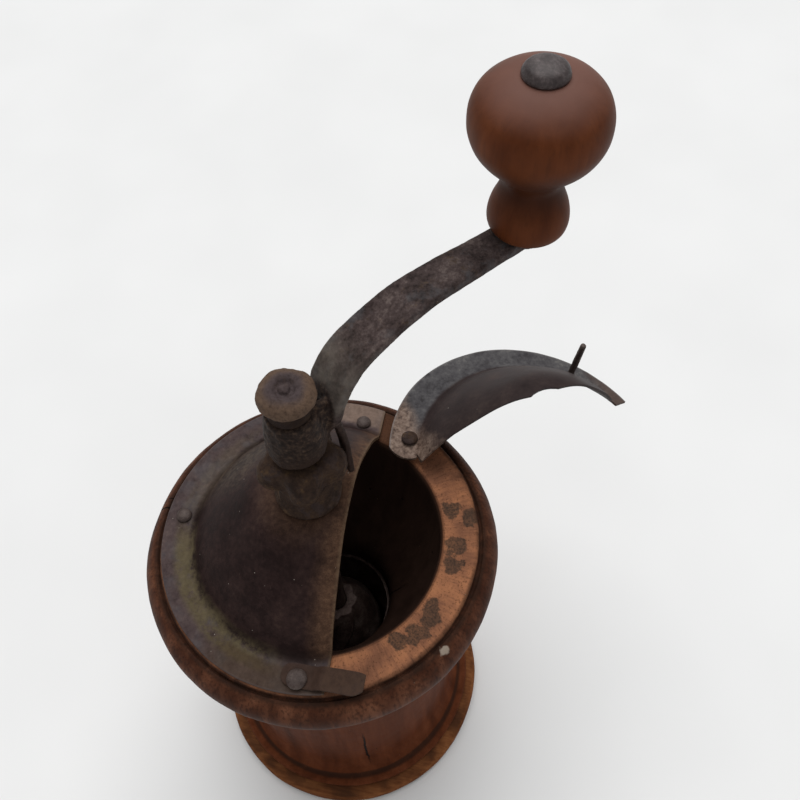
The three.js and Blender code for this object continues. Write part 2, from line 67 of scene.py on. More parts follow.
RING_Z = corners("turned_body")[1].z
KNOB_Z = corners("knob")[0].z
KNOB_H = corners("knob")[1].z - KNOB_Z
ARM_AZIMUTH = math.atan2(KNOB_AT.y, KNOB_AT.x)
ARM_REACH = math.hypot(KNOB_AT.x, KNOB_AT.y)
ARM_Z, ARM_THICK = KNOB_Z - 2.1, 3.5  # middle of the arm under the knob
NOTCH_AZIMUTH = ARM_AZIMUTH - math.radians(8)
FLANGE_Z, DOME_Z = 154.5, 184.6  # upper faces of the cover
BELOW, ABOVE, WIDE = 140, 200, 70  # how far a cutter reaches round the cover's sheet
CHORD_X, CHORD_SLOPE = 12.9, 0.0325  # the cover's straight edge, a little askew
LAP, SET_BACK = 2.8, 0.4  # how far the lid laps over that edge, and stops short of it at its ends
LID_ARC_R, LID_ARC_AT = 49.6, (3.2, 2.4)
LID_PIN = (32.6, -31)
BORE = 4.3  # radius of the holes that the spindle goes through
BASE_SCREWS = [(38 * math.cos(math.radians(a)), 38 * math.sin(math.radians(a))) for a in (30, 150, 270)]
BRIDGE_SCREWS = (-24.3, 24.3)
HEEL_R = 8  # the lid, round its pivot
HEAD_HOLE = 4.3  # for the heads of the base screws


# ---------------------------------------------------------------- meshes
def new_object(name, data):
    obj = bpy.data.objects.new(name, data)
    SCENE.collection.objects.link(obj)
    return obj


def mesh_object(name, places, faces):
    """A smooth-shaded object from places in millimetres."""
    mesh = bpy.data.meshes.new(name)
    mesh.from_pydata((np.asarray(places, float) * MM).tolist(), [], faces)
    mesh.validate()
    obj = new_object(name, mesh)
    shade(obj)
    return obj


def shade(obj, degrees=38):
    mesh = obj.data
    mesh.polygons.foreach_set("use_smooth", [True] * len(mesh.polygons))
    mesh.set_sharp_from_angle(angle=math.radians(degrees))
    mesh.update()


def apply(obj):
    graph = bpy.context.evaluated_depsgraph_get()
    mesh = bpy.data.meshes.new_from_object(obj.evaluated_get(graph))
    old, name = obj.data, obj.data.name
    obj.modifiers.clear()
    obj.data = mesh
    bpy.data.meshes.remove(old)
    mesh.name = name


def cut(obj, tool, operation="DIFFERENCE"):
    change = obj.modifiers.new("cut", "BOOLEAN")
    change.operation, change.solver, change.object = operation, "MANIFOLD", tool
    apply(obj)
    bpy.data.objects.remove(tool)
    shade(obj)
    return obj


def lerp(a, b, start, end, at):
    return ((end - at) * a + (at - start) * b) / (end - start)


def spline(run, step):
    """A smooth curve through the points of a run, at steps of about that length."""
    p = np.array(run, float)
    if len(p) < 3:
        return p
    ends = np.vstack([2 * p[0] - p[1], p, 2 * p[-1] - p[-2]])
    out = []
    for a, b, c, d in zip(ends, ends[1:], ends[2:], ends[3:]):
        t = np.cumsum([0, *(np.linalg.norm(v - u) ** 0.5 for u, v in ((a, b), (b, c), (c, d)))])
        count = max(1, int(np.ceil(np.linalg.norm(c - b) / step)))
        for s in np.linspace(t[1], t[2], count, endpoint=False):
            row = (a, b, c, d)
            for wide in (1, 2):
                row = [lerp(u, v, t[i], t[i + wide], s) for i, (u, v) in enumerate(zip(row, row[1:]))]
            out.append(lerp(*row, t[1], t[2], s))
    return np.array(out + [p[-1]])


def outline(start, *runs, step=1.3, corner=0.35):
    """A line from the start, straight to each point and smoothly through each list of points.
    It has small rounded corners and no long gaps between its points."""
    points = [np.array(start, float)]
    for run in runs:
        for p in spline([points[-1], *(run if isinstance(run, list) else [run])], step):
            if np.linalg.norm(p - points[-1]) > 1e-4:
                points.append(p)
    rounded = [points[0]]
    for a, b, c in zip(points, points[1:], points[2:]):
        u, v = a - b, c - b
        lu, lv = np.linalg.norm(u), np.linalg.norm(v)
        if u @ v / (lu * lv) < math.cos(math.radians(152)):
            rounded.append(b)
            continue
        k = min(corner, 0.45 * lu, 0.45 * lv)
        start, end = b + u / lu * k, b + v / lv * k
        rounded += [start, (start + 2 * b + end) / 4, end]
    rounded.append(points[-1])
    filled = [rounded[0]]
    for p in rounded[1:]:
        count = max(1, int(np.ceil(np.linalg.norm(p - filled[-1]) / (2 * step))))
        base = filled[-1]
        filled += [base + (p - base) * i / count for i in range(1, count + 1)]
    return np.array(filled)


def lathe(name, line, steps=STEPS, form=None, at=(0, 0, 0)):
    """A turned solid from [radius, height] points that go up the outside and back down inside.
    form(angle, r, z) gives the radius and height at each angle."""
    line = np.asarray(line, float)
    if line[0][0] > 1e-6 and np.linalg.norm(line[0] - line[-1]) < 1e-4:
        line = line[:-1]
    angle = np.linspace(0, 2 * math.pi, steps, endpoint=False)
    r, z = line[:, :1], line[:, 1:]
    r, z = form(angle[None], r, z) if form else (r, z)
    grid = np.stack(np.broadcast_arrays(r * np.cos(angle), r * np.sin(angle), z), -1) + np.array(at)
    places, rings = [], []
    for row, (radius, _) in zip(grid, line):
        first = len(places)
        if radius < 1e-6:
            places.append(row[0])
            rings.append([first] * steps)
        else:
            places += list(row)
            rings.append(range(first, first + steps))
    loop = line[0][0] > 1e-6
    return skin(name, places, [*rings, rings[0]] if loop else rings)


def skin(name, places, rings):
    """A mesh from rings of places. A ring may be one place many times."""
    faces = []
    for low, high in zip(rings, rings[1:]):
        for j, k in enumerate([*range(1, len(low)), 0]):
            face = [low[j], low[k], high[k], high[j]]
            faces.append([v for i, v in enumerate(face) if v != face[i - 1]])
    return mesh_object(name, places, faces)


def loft(name, sections):
    """A solid through closed sections that all have the same number of points."""
    sections = [np.asarray(s, float) for s in sections]
    count = len(sections[0])
    places = np.vstack([*sections, sections[0].mean(0), sections[-1].mean(0)])
    ends = [[len(places) - i] * count for i in (2, 1)]
    rings = [range(i, i + count) for i in range(0, len(places) - 2, count)]
    return skin(name, places, [ends[0], *rings, ends[1]])


def prism(name, around, z0, z1):
    return loft(name, [[(x, y, z) for x, y in around] for z in (z0, z1)])


def block(low, high, name="tool"):
    (a, b, c), (d, e, f) = low, high
    return prism(name, [(a, b), (d, b), (d, e), (a, e)], c, f)


def plan(points):
    """A cutter through the cover's sheet, from its outline seen from above."""
    return prism("tool", points, BELOW, ABOVE)


def rod(radius, z0, z1, x=0.0, y=0.0, sides=32, name="tool"):
    turn = [2 * math.pi * i / sides for i in range(sides)]
    return prism(name, [(x + radius * math.cos(a), y + radius * math.sin(a)) for a in turn], z0, z1)


def move(obj, matrix):
    """Changes the mesh by a matrix in millimetres."""
    scale = Matrix.Scale(MM, 4)
    obj.data.transform(scale @ matrix @ scale.inverted())
    obj.data.update()
    return obj


def join(name, parts):
    """One mesh from several, whose solids may overlap."""
    places, faces = [], []
    for part in parts:
        first = len(places)
        places += list(read(part.data) / MM)
        faces += [[first + i for i in p.vertices] for p in part.data.polygons]
        bpy.data.objects.remove(part)
    return mesh_object(name, places, faces)


def fuse(obj, voxel=None, rounds=4):
    """Melts a mesh into one skin with soft edges."""
    remesh = obj.modifiers.new("fuse", "REMESH")
    remesh.mode, remesh.voxel_size = "VOXEL", (voxel or VOXEL) * MM
    soften = obj.modifiers.new("soften", "SMOOTH")
    soften.factor, soften.iterations = 0.5, rounds
    apply(obj)
    shade(obj, 180)
    return obj


def bevel(obj, width, segments=3, degrees=35):
    edge = obj.modifiers.new("edge", "BEVEL")
    edge.width, edge.segments = width * MM, segments
    edge.limit_method, edge.angle_limit = "ANGLE", math.radians(degrees)
    apply(obj)
    shade(obj, 60)
    return obj


def read(mesh, what="co"):
    values = np.zeros(len(mesh.vertices) * 3)
    mesh.vertices.foreach_get(what, values)
    return values.reshape(-1, 3)


def write(mesh, places):
    mesh.vertices.foreach_set("co", places.ravel())
    mesh.update()


def roughen(obj, *layers, keep=None):
    """Moves each vertex along its normal by layers of (size, depth) noise, both in millimetres."""
    places, normals = read(obj.data), read(obj.data, "normal")
    shift = np.zeros(len(places))
    for i, (size, depth) in enumerate(layers):
        for j, p in enumerate(places / (size * MM) + 17.3 * (i + 1)):
            shift[j] += depth * noise.noise(Vector(p))
    if keep is not None:
        shift *= keep(places / MM)
    write(obj.data, places + normals * shift[:, None] * MM)
    return obj


def away(p, x=0.0, y=0.0):
    """Distances from an upright axis, in the plan."""
    return np.hypot(p[:, 0] - x, p[:, 1] - y)


def share(values):
    return np.clip(values, 0, 1)


# ---------------------------------------------------------------- materials
class Paint:
    """Builds one procedural material. Places are in millimetres in the CAD frame."""

    def __init__(self, name, metallic=0.0, specular=0.5):
        self.material = bpy.data.materials.new(name)
        self.material.use_nodes = True
        tree = self.material.node_tree
        self.nodes, self.links = tree.nodes, tree.links
        self.shader = self.nodes["Principled BSDF"].inputs
        self.shader["Metallic"].default_value = metallic
        self.shader["Specular IOR Level"].default_value = specular
        self.colour = None
        self.read(self.scale(self.new("ShaderNodeTexCoord").outputs["Object"], 1 / MM))

    def read(self, place):
        self.place = place
        self.x, self.y, self.z = self.split(place)
        self.flat = self.scale(place, 1, 1, 0)
        self.r = self.vector("LENGTH", self.flat)
        self.angle = self.math("ARCTAN2", self.y, self.x)

    def new(self, kind, **settings):
        node = self.nodes.new(kind)
        for key, value in settings.items():
            setattr(node, key, value)
        return node

    def put(self, socket, value):
        if isinstance(value, bpy.types.NodeSocket):
            self.links.new(value, socket)
        elif hasattr(socket.default_value, "__len__"):
            size = len(socket.default_value)
            socket.default_value = tuple(value) + (1.0,) * (size - len(value))
        else:
            socket.default_value = value

    def feed(self, node, *values, **named):
        """Puts values in a node's first sockets, and in those with the given names."""
        for socket, value in zip(node.inputs, values):
            self.put(socket, value)
        for key, value in named.items():
            self.put(node.inputs[key], value)
        return node.outputs

    def split(self, vector):
        return self.feed(self.new("ShaderNodeSeparateXYZ"), vector)

    def vector(self, operation, a, b=(0, 0, 0)):
        out = self.feed(self.new("ShaderNodeVectorMath", operation=operation), a, b)
        return out["Value" if operation in ("LENGTH", "DISTANCE") else "Vector"]

    def math(self, operation, first, *rest):
        for value in rest:
            first = self.feed(self.new("ShaderNodeMath", operation=operation), first, value)[0]
        return first

    def add(self, *values):
        return self.math("ADD", *values)

    def times(self, *values):
        return self.math("MULTIPLY", *values)

    def weigh(self, *pairs):
        """The sum of values, each followed by its weight."""
        return self.add(*(self.times(v, weight) for v, weight in zip(pairs[::2], pairs[1::2])))

    def most(self, *values):
        return self.math("MAXIMUM", *values)

    def scale(self, vector, *factors):
        return self.vector("MULTIPLY", vector, factors if len(factors) == 3 else factors * 3)

    def range(self, value, low, high, a=0.0, b=1.0):
        node = self.new("ShaderNodeMapRange", interpolation_type="SMOOTHSTEP")
        return self.feed(node, value, low, high, a, b)[0]

    def between(self, value, low, high, soft):
        rise = self.range(value, low - soft, low + soft)
        return self.times(rise, self.range(value, high - soft, high + soft, 1.0, 0.0))

    def sector(self, start, end, soft):
        """Between two azimuths in degrees. The soft edges are in radians."""
        return self.between(self.angle, math.radians(start), math.radians(end), soft)

    def noise(self, size, seed, detail=4, rough=0.55, stretch=(1, 1, 1), warp=0.0, at=None):
        """Noise of about that feature size. stretch above 1 lengthens it along an axis."""
        node = self.new("ShaderNodeTexNoise", noise_dimensions="4D")
        vector = self.scale(at or self.place, *(1 / s for s in stretch))
        settings = {"Detail": detail, "Roughness": rough, "Distortion": warp}
        return self.feed(node, Vector=vector, W=seed, Scale=1 / size, **settings)[0]

    def specks(self, size, radius, part):
        """Small round dots: that part of the cells holds one."""
        cells = self.feed(self.new("ShaderNodeTexVoronoi"), Vector=self.place, Scale=1 / size)
        dot = self.range(cells["Distance"], radius * 0.6 / size, radius / size, 1.0, 0.0)
        return self.times(dot, self.math("LESS_THAN", self.split(cells["Color"])[0], part))

    def crack(self, azimuth, width, sway, along, low, high, soft, seed):
        """A dark line near a radial plane, where the value along it is between low and high."""
        a = math.radians(azimuth)
        side = self.math("SUBTRACT", self.times(self.x, math.sin(a)), self.times(self.y, math.cos(a)))
        wander = self.math("SUBTRACT", self.noise(11, seed, 3, 0.6), 0.5)
        off = self.math("ABSOLUTE", self.add(side, self.times(wander, sway)), 0.0)
        line = self.range(off, width * 0.35, width, 1.0, 0.0)
        front = self.add(self.times(self.x, math.cos(a)), self.times(self.y, math.sin(a)))
        return self.times(line, self.math("GREATER_THAN", front, 0.0), self.between(along, low, high, soft))

    def patch(self, centre, radii, seed=0.0, ragged=0.9):
        """A ragged blot round a place."""
        off = self.vector(
            "LENGTH", self.scale(self.vector("SUBTRACT", self.place, centre), *(1 / r for r in radii)),
        )
        edge = self.times(self.math("SUBTRACT", self.noise(3.5, seed, 6), 0.5), ragged * 2)
        return self.range(self.add(off, edge), 0.75, 1.1, 1.0, 0.0)

    def mix(self, factor, a, b):
        node = self.new("ShaderNodeMix", data_type="RGBA", clamp_factor=True)
        return self.feed(node, Factor=factor, A=a, B=b)["Result"]

    def coat(self, *factors):
        """Lays a colour, the last value, over what is there, as much as the factors multiply to."""
        *factors, colour = factors
        self.colour = self.mix(self.times(*factors), self.colour, colour)

    def ramp(self, value, *stops):
        """Each stop is a place from 0 to 1 and a colour."""
        node = self.new("ShaderNodeValToRGB")
        band = node.color_ramp.elements
        band[0].position, band[1].position = stops[0][0], stops[-1][0]
        band[0].color, band[1].color = (*stops[0][1:], 1), (*stops[-1][1:], 1)
        for place, *colour in stops[1:-1]:
            band.new(place).color = (*colour, 1)
        return self.feed(node, value)[0]

    def finish(self, roughness, height=None, depth=0.0):
        """The height is of bumps up to that depth in millimetres."""
        self.put(self.shader["Base Color"], self.colour)
        self.put(self.shader["Roughness"], roughness)
        if height is not None:
            out = self.feed(self.new("ShaderNodeBump"), Strength=1.0, Distance=depth * MM, Height=height)
            self.put(self.shader["Normal"], out[0])
        return self.material


def grain_of(p, fine=0.9, coarse=5, along=14, seed=0):
    """Pores and growth streaks of wood whose grain runs along Z."""
    pores = p.noise(fine, seed, 5, 0.6, stretch=(1, 1, along))
    streaks = p.noise(coarse, seed + 1, 3, stretch=(1, 1, along), warp=0.4)
    return pores, streaks


# Dark stains on the flat ring: place, and half sizes along X and Y.
STAINS = [
    (41.7, 17.2, 3.2, 3), (48.6, 16.4, 2.8, 3.4), (45.3, 4.6, 3.6, 4), (45.8, -2.2, 3.2, 3.2),
    (41.8, -19.5, 2.9, 5.4), (38, -26.8, 5, 3.2), (33.4, -29.8, 4.2, 2.9),
]


def body_wood():
    p = Paint("body_wood", specular=0.03)
    pores, streaks = grain_of(p)
    blotch = p.noise(17, 2, 5, 0.6)
    fine = p.noise(0.5, 4, 3)
    tone = p.weigh(streaks, 0.55, blotch, 0.45)
    varnish = p.ramp(
        tone, (0.3, 0.029, 0.0095, 0.0052), (0.45, 0.058, 0.0205, 0.011), (0.57, 0.11, 0.042, 0.0225),
        (0.7, 0.175, 0.075, 0.042),
    )
    varnish = p.mix(p.range(pores, 0.35, 0.55, 0.55, 0), varnish, (0.018, 0.008, 0.005))
    # The waist is a deeper red brown, and the foot is yellower.
    low = p.range(p.z, 100, 128, 1, 0)
    varnish = p.mix(
        p.times(low, 0.75), varnish, p.mix(streaks, (0.03, 0.0074, 0.0028), (0.165, 0.042, 0.0135)),
    )
    # Bare wood of the flat ring, with end grain pores, rays and growth rings.
    around = p.scale(p.vector("NORMALIZE", p.flat), 60)
    rays = p.noise(1, p.times(p.r, 0.16), 5, 0.65, at=around)
    speck = p.noise(0.7, 9, 5, 0.7)
    bare = p.ramp(
        p.add(p.times(rays, 0.28), p.times(p.noise(9, 6, 6), 0.72)), (0.3, 0.115, 0.052, 0.03),
        (0.43, 0.195, 0.085, 0.048), (0.55, 0.31, 0.132, 0.066), (0.7, 0.42, 0.18, 0.084),
    )
    bare = p.mix(p.range(speck, 0.36, 0.47, 0.6, 0), bare, (0.05, 0.022, 0.013))
    bare = p.mix(p.range(rays, 0.36, 0.4, 0.35, 0), bare, (0.06, 0.028, 0.017))
    stains = p.most(*(
        p.patch((x, y, RING_Z), (across, along, 9), seed, 1.5)
        for seed, (x, y, across, along) in enumerate(STAINS, 1)
    ))
    streaky = p.range(p.weigh(rays, 0.2, speck, 0.8), 0.38, 0.64, 0.92, 0.62)
    bare = p.mix(p.times(stains, streaky), bare, p.mix(speck, (0.022, 0.015, 0.011), (0.068, 0.048, 0.036)))
    rusty = p.patch((14.6, 43.6, RING_Z), (8.5, 9.5, 9), 8)
    bare = p.mix(p.times(rusty, 0.92), bare, p.mix(speck, (0.022, 0.01, 0.0065), (0.09, 0.042, 0.024)))
    ring = p.times(p.range(p.z, RING_Z - 1.5, RING_Z - 0.5), p.between(p.r, 41, 53.3, 0.25))
    edge = p.times(p.range(p.z, RING_Z - 2.5, RING_Z - 0.2), p.between(p.r, 52.2, 54, 0.5))
    p.colour = p.mix(ring, varnish, bare)
    p.coat(edge, p.range(blotch, 0.4, 0.6, 0.6, 0.2), (0.04, 0.02, 0.013))
    # Painted shade, with some dirt, darkens the grooves and the foot's lower edge.
    mottle_noise = p.noise(3, 12, 6)
    groove = p.times(
        p.between(p.add(p.r, p.times(mottle_noise, 2)), 54.2, 57, 0.9), p.range(p.z, 149.2, 150.2),
    )
    groove = p.times(groove, p.range(mottle_noise, 0.35, 0.6, 0.5, 0.85))
    foot = p.most(
        p.times(p.between(p.z, 10.6, 12.2, 0.5), p.range(p.r, 51.8, 50.4), 0.8),
        p.times(p.range(p.z, 8.4, 7.6), 0.9),
    )
    shade_and_dirt = p.most(groove, p.times(foot, p.range(mottle_noise, 0.25, 0.5, 0.75, 1)))
    p.coat(shade_and_dirt, (0.022, 0.012, 0.0085))
    smear = p.times(p.range(mottle_noise, 0.56, 0.68), p.between(p.z, 112, 150, 3), 0.6)
    p.coat(smear, (0.035, 0.018, 0.012))
    # The hopper is almost black.
    inside = p.times(p.range(p.r, 41.6, 40.9), p.range(p.z, 60, 62))
    p.coat(inside, p.mix(streaks, (0.02, 0.011, 0.0085), (0.078, 0.042, 0.03)))
    lip = p.times(p.between(p.r, 40.2, 41.9, 0.25), p.range(p.z, RING_Z - 1.8, RING_Z - 0.6))
    p.coat(lip, 0.5, (0.05, 0.021, 0.012))
    raw = p.times(p.between(p.z, 22.1, 54.5, 0.3), p.range(p.r, 44.6, 44))
    p.coat(raw, p.mix(pores, (0.05, 0.028, 0.016), (0.17, 0.1, 0.055)))
    cracks = p.most(
        p.crack(179, 0.34, 2.2, p.r, 51.5, 58, 0.5, 21),
        p.crack(175.5, 0.18, 1.6, p.r, 53, 56.5, 0.5, 22),
        p.crack(-70, 0.4, 3, p.z, 116, 138, 4, 23),
        p.crack(-66, 0.5, 3, p.z, 22, 62, 8, 24),
        p.crack(95, 0.4, 4, p.z, 16, 60, 9, 25),
        p.crack(12, 0.3, 4, p.z, 60, 104, 8, 26),
        p.crack(215, 0.35, 4, p.z, 58, 98, 8, 27),
    )
    p.coat(cracks, (0.008, 0.005, 0.004))
    worm = p.times(p.specks(7, 0.55, 0.28), p.range(p.z, 145, 138))
    p.coat(worm, (0.008, 0.004, 0.003))
    paint = p.most(
        p.times(p.patch((47.4, -29.4, 149.6), (2, 1.7, 2.6), 31, 1.2), 0.75),
        p.times(p.specks(5, 0.16, 0.35), 0.5),
    )
    p.coat(paint, (0.36, 0.3, 0.24))
    rough = p.add(0.34, p.weigh(blotch, 0.22, fine, 0.1, ring, 0.26, shade_and_dirt, 0.3, inside, 0.3))
    height = p.add(
        p.times(pores, p.add(0.1, p.times(ring, 0.12))), p.times(speck, p.add(0.02, p.times(ring, 0.14))),
        p.times(rays, ring, 0.25), p.weigh(blotch, 0.3, cracks, -1.6, worm, -1.5, paint, 0.3),
    )
    return p.finish(rough, height, 0.45)


def knob_wood():
    p = Paint("knob_wood", specular=0.06)
    pores, streaks = grain_of(p, 0.8, 6.5, 12, 31)
    haze = p.noise(19, 33)
    p.colour = p.ramp(
        p.weigh(streaks, 0.5, haze, 0.5), (0.32, 0.047, 0.013, 0.0046), (0.46, 0.08, 0.0215, 0.0072),
        (0.56, 0.106, 0.0295, 0.0098), (0.7, 0.145, 0.043, 0.0145),
    )
    p.coat(p.range(pores, 0.34, 0.5, 0.18, 0), (0.035, 0.013, 0.007))
    # Painted highlight: a grey sheen on the top of the ball.
    top_sheen = p.range(p.add(p.z, p.times(haze, 3)), KNOB_Z + 40.5, KNOB_Z + 48)
    p.coat(top_sheen, 0.85, p.mix(haze, (0.13, 0.062, 0.046), (0.185, 0.098, 0.08)))
    # Painted shade: the neck and the lower half of the ball are darker.
    lower_shade = p.times(p.between(p.z, KNOB_Z + 11, KNOB_Z + 29, 5), 0.9)
    p.coat(lower_shade, p.mix(streaks, (0.018, 0.005, 0.002), (0.044, 0.0125, 0.005)))
    foot = p.range(p.z, KNOB_Z + 3.5, KNOB_Z + 0.5)
    p.coat(foot, 0.35, (0.05, 0.022, 0.013))
    dots = p.times(p.specks(6, 0.2, 0.3), 0.7)
    p.coat(dots, (0.38, 0.28, 0.2))
    rough = p.add(0.36, p.times(haze, 0.16), p.times(p.noise(0.6, 35), 0.1))
    height = p.weigh(pores, 0.1, haze, 0.4, dots, 0.2)
    return p.finish(rough, height, 0.22)


def pale_wood():
    p = Paint("base_wood", specular=0.03)
    pores, streaks = grain_of(p, 0.8, 6, 1, 41)
    along = p.noise(1.2, 42, 5, stretch=(16, 1, 1))
    blotch = p.noise(13, 43, 5)
    p.colour = p.ramp(
        p.weigh(along, 0.5, blotch, 0.5), (0.32, 0.064, 0.021, 0.008), (0.45, 0.122, 0.042, 0.0155),
        (0.57, 0.195, 0.073, 0.027), (0.7, 0.28, 0.113, 0.042),
    )
    top = p.range(p.z, 5.4, 6.6)
    p.coat(top, p.range(blotch, 0.35, 0.6, 0.6, 0.15), (0.04, 0.02, 0.012))
    p.coat(p.range(p.z, 1.8, 0.4), 0.6, (0.035, 0.019, 0.012))
    worm = p.specks(6, 0.5, 0.3)
    crack = p.most(
        p.crack(118, 0.35, 3, p.r, 35, 60, 3, 45),
        p.crack(205, 0.3, 3, p.r, 42, 60, 3, 46),
    )
    marks = p.most(worm, crack)
    p.coat(marks, (0.01, 0.006, 0.004))
    rough = p.add(0.42, p.weigh(blotch, 0.25, top, 0.2))
    height = p.weigh(along, 0.16, blotch, 0.25, marks, -1.2, streaks, 0.1, pores, 0.08)
    return p.finish(rough, height, 0.4)


def drawer_wood():
    p = Paint("drawer_wood", specular=0.06)
    along = p.noise(1, 51, 5, stretch=(18, 1, 1))
    bands = p.noise(5, 52, 3, stretch=(10, 1, 1), warp=0.8)
    stain = p.noise(12, 53, 6)
    p.colour = p.ramp(
        p.weigh(bands, 0.6, along, 0.4), (0.32, 0.13, 0.075, 0.038), (0.5, 0.24, 0.145, 0.078),
        (0.68, 0.33, 0.215, 0.125),
    )
    p.coat(p.range(stain, 0.48, 0.66, 0, 0.75), (0.055, 0.03, 0.017))
    dust = p.times(p.range(p.z, 31, 26), 0.5, p.range(stain, 0.35, 0.6))
    p.coat(dust, (0.03, 0.016, 0.01))
    height = p.weigh(along, 0.3, stain, 0.2)
    return p.finish(p.add(0.62, p.times(stain, 0.2)), height, 0.3)


def cover_steel():
    p = Paint("cover_steel", metallic=0.02, specular=0.06)
    cloud = p.noise(11, 61, 6, 0.62)
    spot = p.noise(1.6, 62, 5, 0.7)
    fine = p.noise(0.45, 63, 3)
    hue = p.noise(7, 64)
    dome = p.ramp(
        p.weigh(cloud, 0.6, spot, 0.4), (0.35, 0.0098, 0.005, 0.0045), (0.46, 0.0175, 0.0092, 0.0085),
        (0.56, 0.0295, 0.0162, 0.0145), (0.68, 0.052, 0.031, 0.0245),
    )
    flange = p.ramp(
        p.weigh(cloud, 0.45, spot, 0.55), (0.36, 0.031, 0.02, 0.0195), (0.46, 0.053, 0.036, 0.0355),
        (0.57, 0.077, 0.054, 0.051), (0.68, 0.115, 0.083, 0.072),
    )
    flange = p.mix(
        p.range(hue, 0.45, 0.65, 0, 0.4), flange, p.mix(spot, (0.04, 0.04, 0.046), (0.105, 0.1, 0.105)),
    )
    # Rust brown near the cut edge and round the collar.
    warm = p.most(
        p.times(p.range(p.add(p.x, p.times(cloud, 7)), 8, 16), 0.85),
        p.times(p.range(p.add(p.r, p.times(cloud, 10)), 25, 15), 0.5),
    )
    rust = p.ramp(
        p.weigh(spot, 0.4, cloud, 0.35, fine, 0.25), (0.38, 0.03, 0.016, 0.0098),
        (0.5, 0.082, 0.043, 0.026), (0.62, 0.15, 0.083, 0.048),
    )
    p.colour = p.mix(warm, dome, rust)
    # Painted sheen: a golden highlight lies on the upper left of the dome.
    haze = p.times(p.sector(105, 172, 0.3), p.between(p.r, 24, 43, 4))
    p.coat(haze, p.range(spot, 0.4, 0.65, 0.1, 0.6), (0.085, 0.064, 0.045))
    skirt = p.range(p.add(p.r, p.times(cloud, 5)), 43.8, 47.2)
    p.coat(skirt, flange)
    # Olive bloom in the corner between dome and flange, strongest at the front left.
    front = p.sector(-172, -96, 0.2)
    side = p.most(
        p.range(p.angle, math.radians(112), math.radians(150)),
        p.range(p.angle, math.radians(-160), math.radians(-176)),
    )
    where = p.most(front, p.times(side, 0.3))
    band = p.between(p.add(p.r, p.times(cloud, 4)), 43.4, 50.4, 1.5)
    crust = p.noise(2.6, 65, 6, 0.75)
    bloom = p.times(where, band, p.range(p.weigh(cloud, 0.7, crust, 0.9), 0.6, 0.86))
    p.coat(bloom, 0.85, p.mix(spot, (0.04, 0.03, 0.015), (0.15, 0.12, 0.066)))
    # Painted shade in the corner between dome and flange, weaker where the bloom lies.
    corner = p.times(p.between(p.r, 41, 43.6, 0.8), 0.5, p.math("SUBTRACT", 1, p.times(bloom, 0.7)))
    p.coat(corner, (0.014, 0.009, 0.008))
    warm_front = p.times(p.sector(-118, -60, 0.15), p.range(p.r, 44, 46), 0.6)
    p.coat(warm_front, p.mix(spot, (0.024, 0.014, 0.0075), (0.085, 0.052, 0.029)))
    warm_back = p.times(p.sector(76, 108, 0.1), p.range(p.r, 44, 46), 0.8)
    p.coat(warm_back, p.mix(spot, (0.05, 0.032, 0.024), (0.32, 0.225, 0.175)))
    edge = p.range(p.r, 52.3, 52.9)
    p.coat(edge, 0.5, (0.105, 0.082, 0.078))
    line = p.add(p.x, p.times(p.y, CHORD_SLOPE))
    chord = p.range(line, CHORD_X - 1.1, CHORD_X - 0.1)
    p.coat(chord, p.range(spot, 0.35, 0.6, 0.25, 0.7), (0.125, 0.08, 0.048))
    strip = p.times(p.range(p.z, 155, 155.5), p.range(p.r, 43.6, 44.4), p.range(p.y, -42, -43), 0.85)
    p.coat(strip, p.mix(spot, (0.018, 0.0095, 0.0065), (0.066, 0.037, 0.027)))
    dots = p.most(p.specks(3, 0.21, 0.4), p.specks(8, 0.32, 0.2))
    p.coat(dots, 0.75, (0.3, 0.26, 0.22))
    under = p.range(p.z, 155, 152.6)
    p.coat(under, 0.4, (0.02, 0.013, 0.01))
    rough = p.add(0.42, p.weigh(cloud, 0.18, spot, 0.16, bloom, 0.2, warm, 0.08))
    height = p.add(p.times(bloom, crust, 0.5), p.weigh(spot, 0.5, fine, 0.12, cloud, 0.5, dots, 0.3))
    return p.finish(rough, height, 0.2)


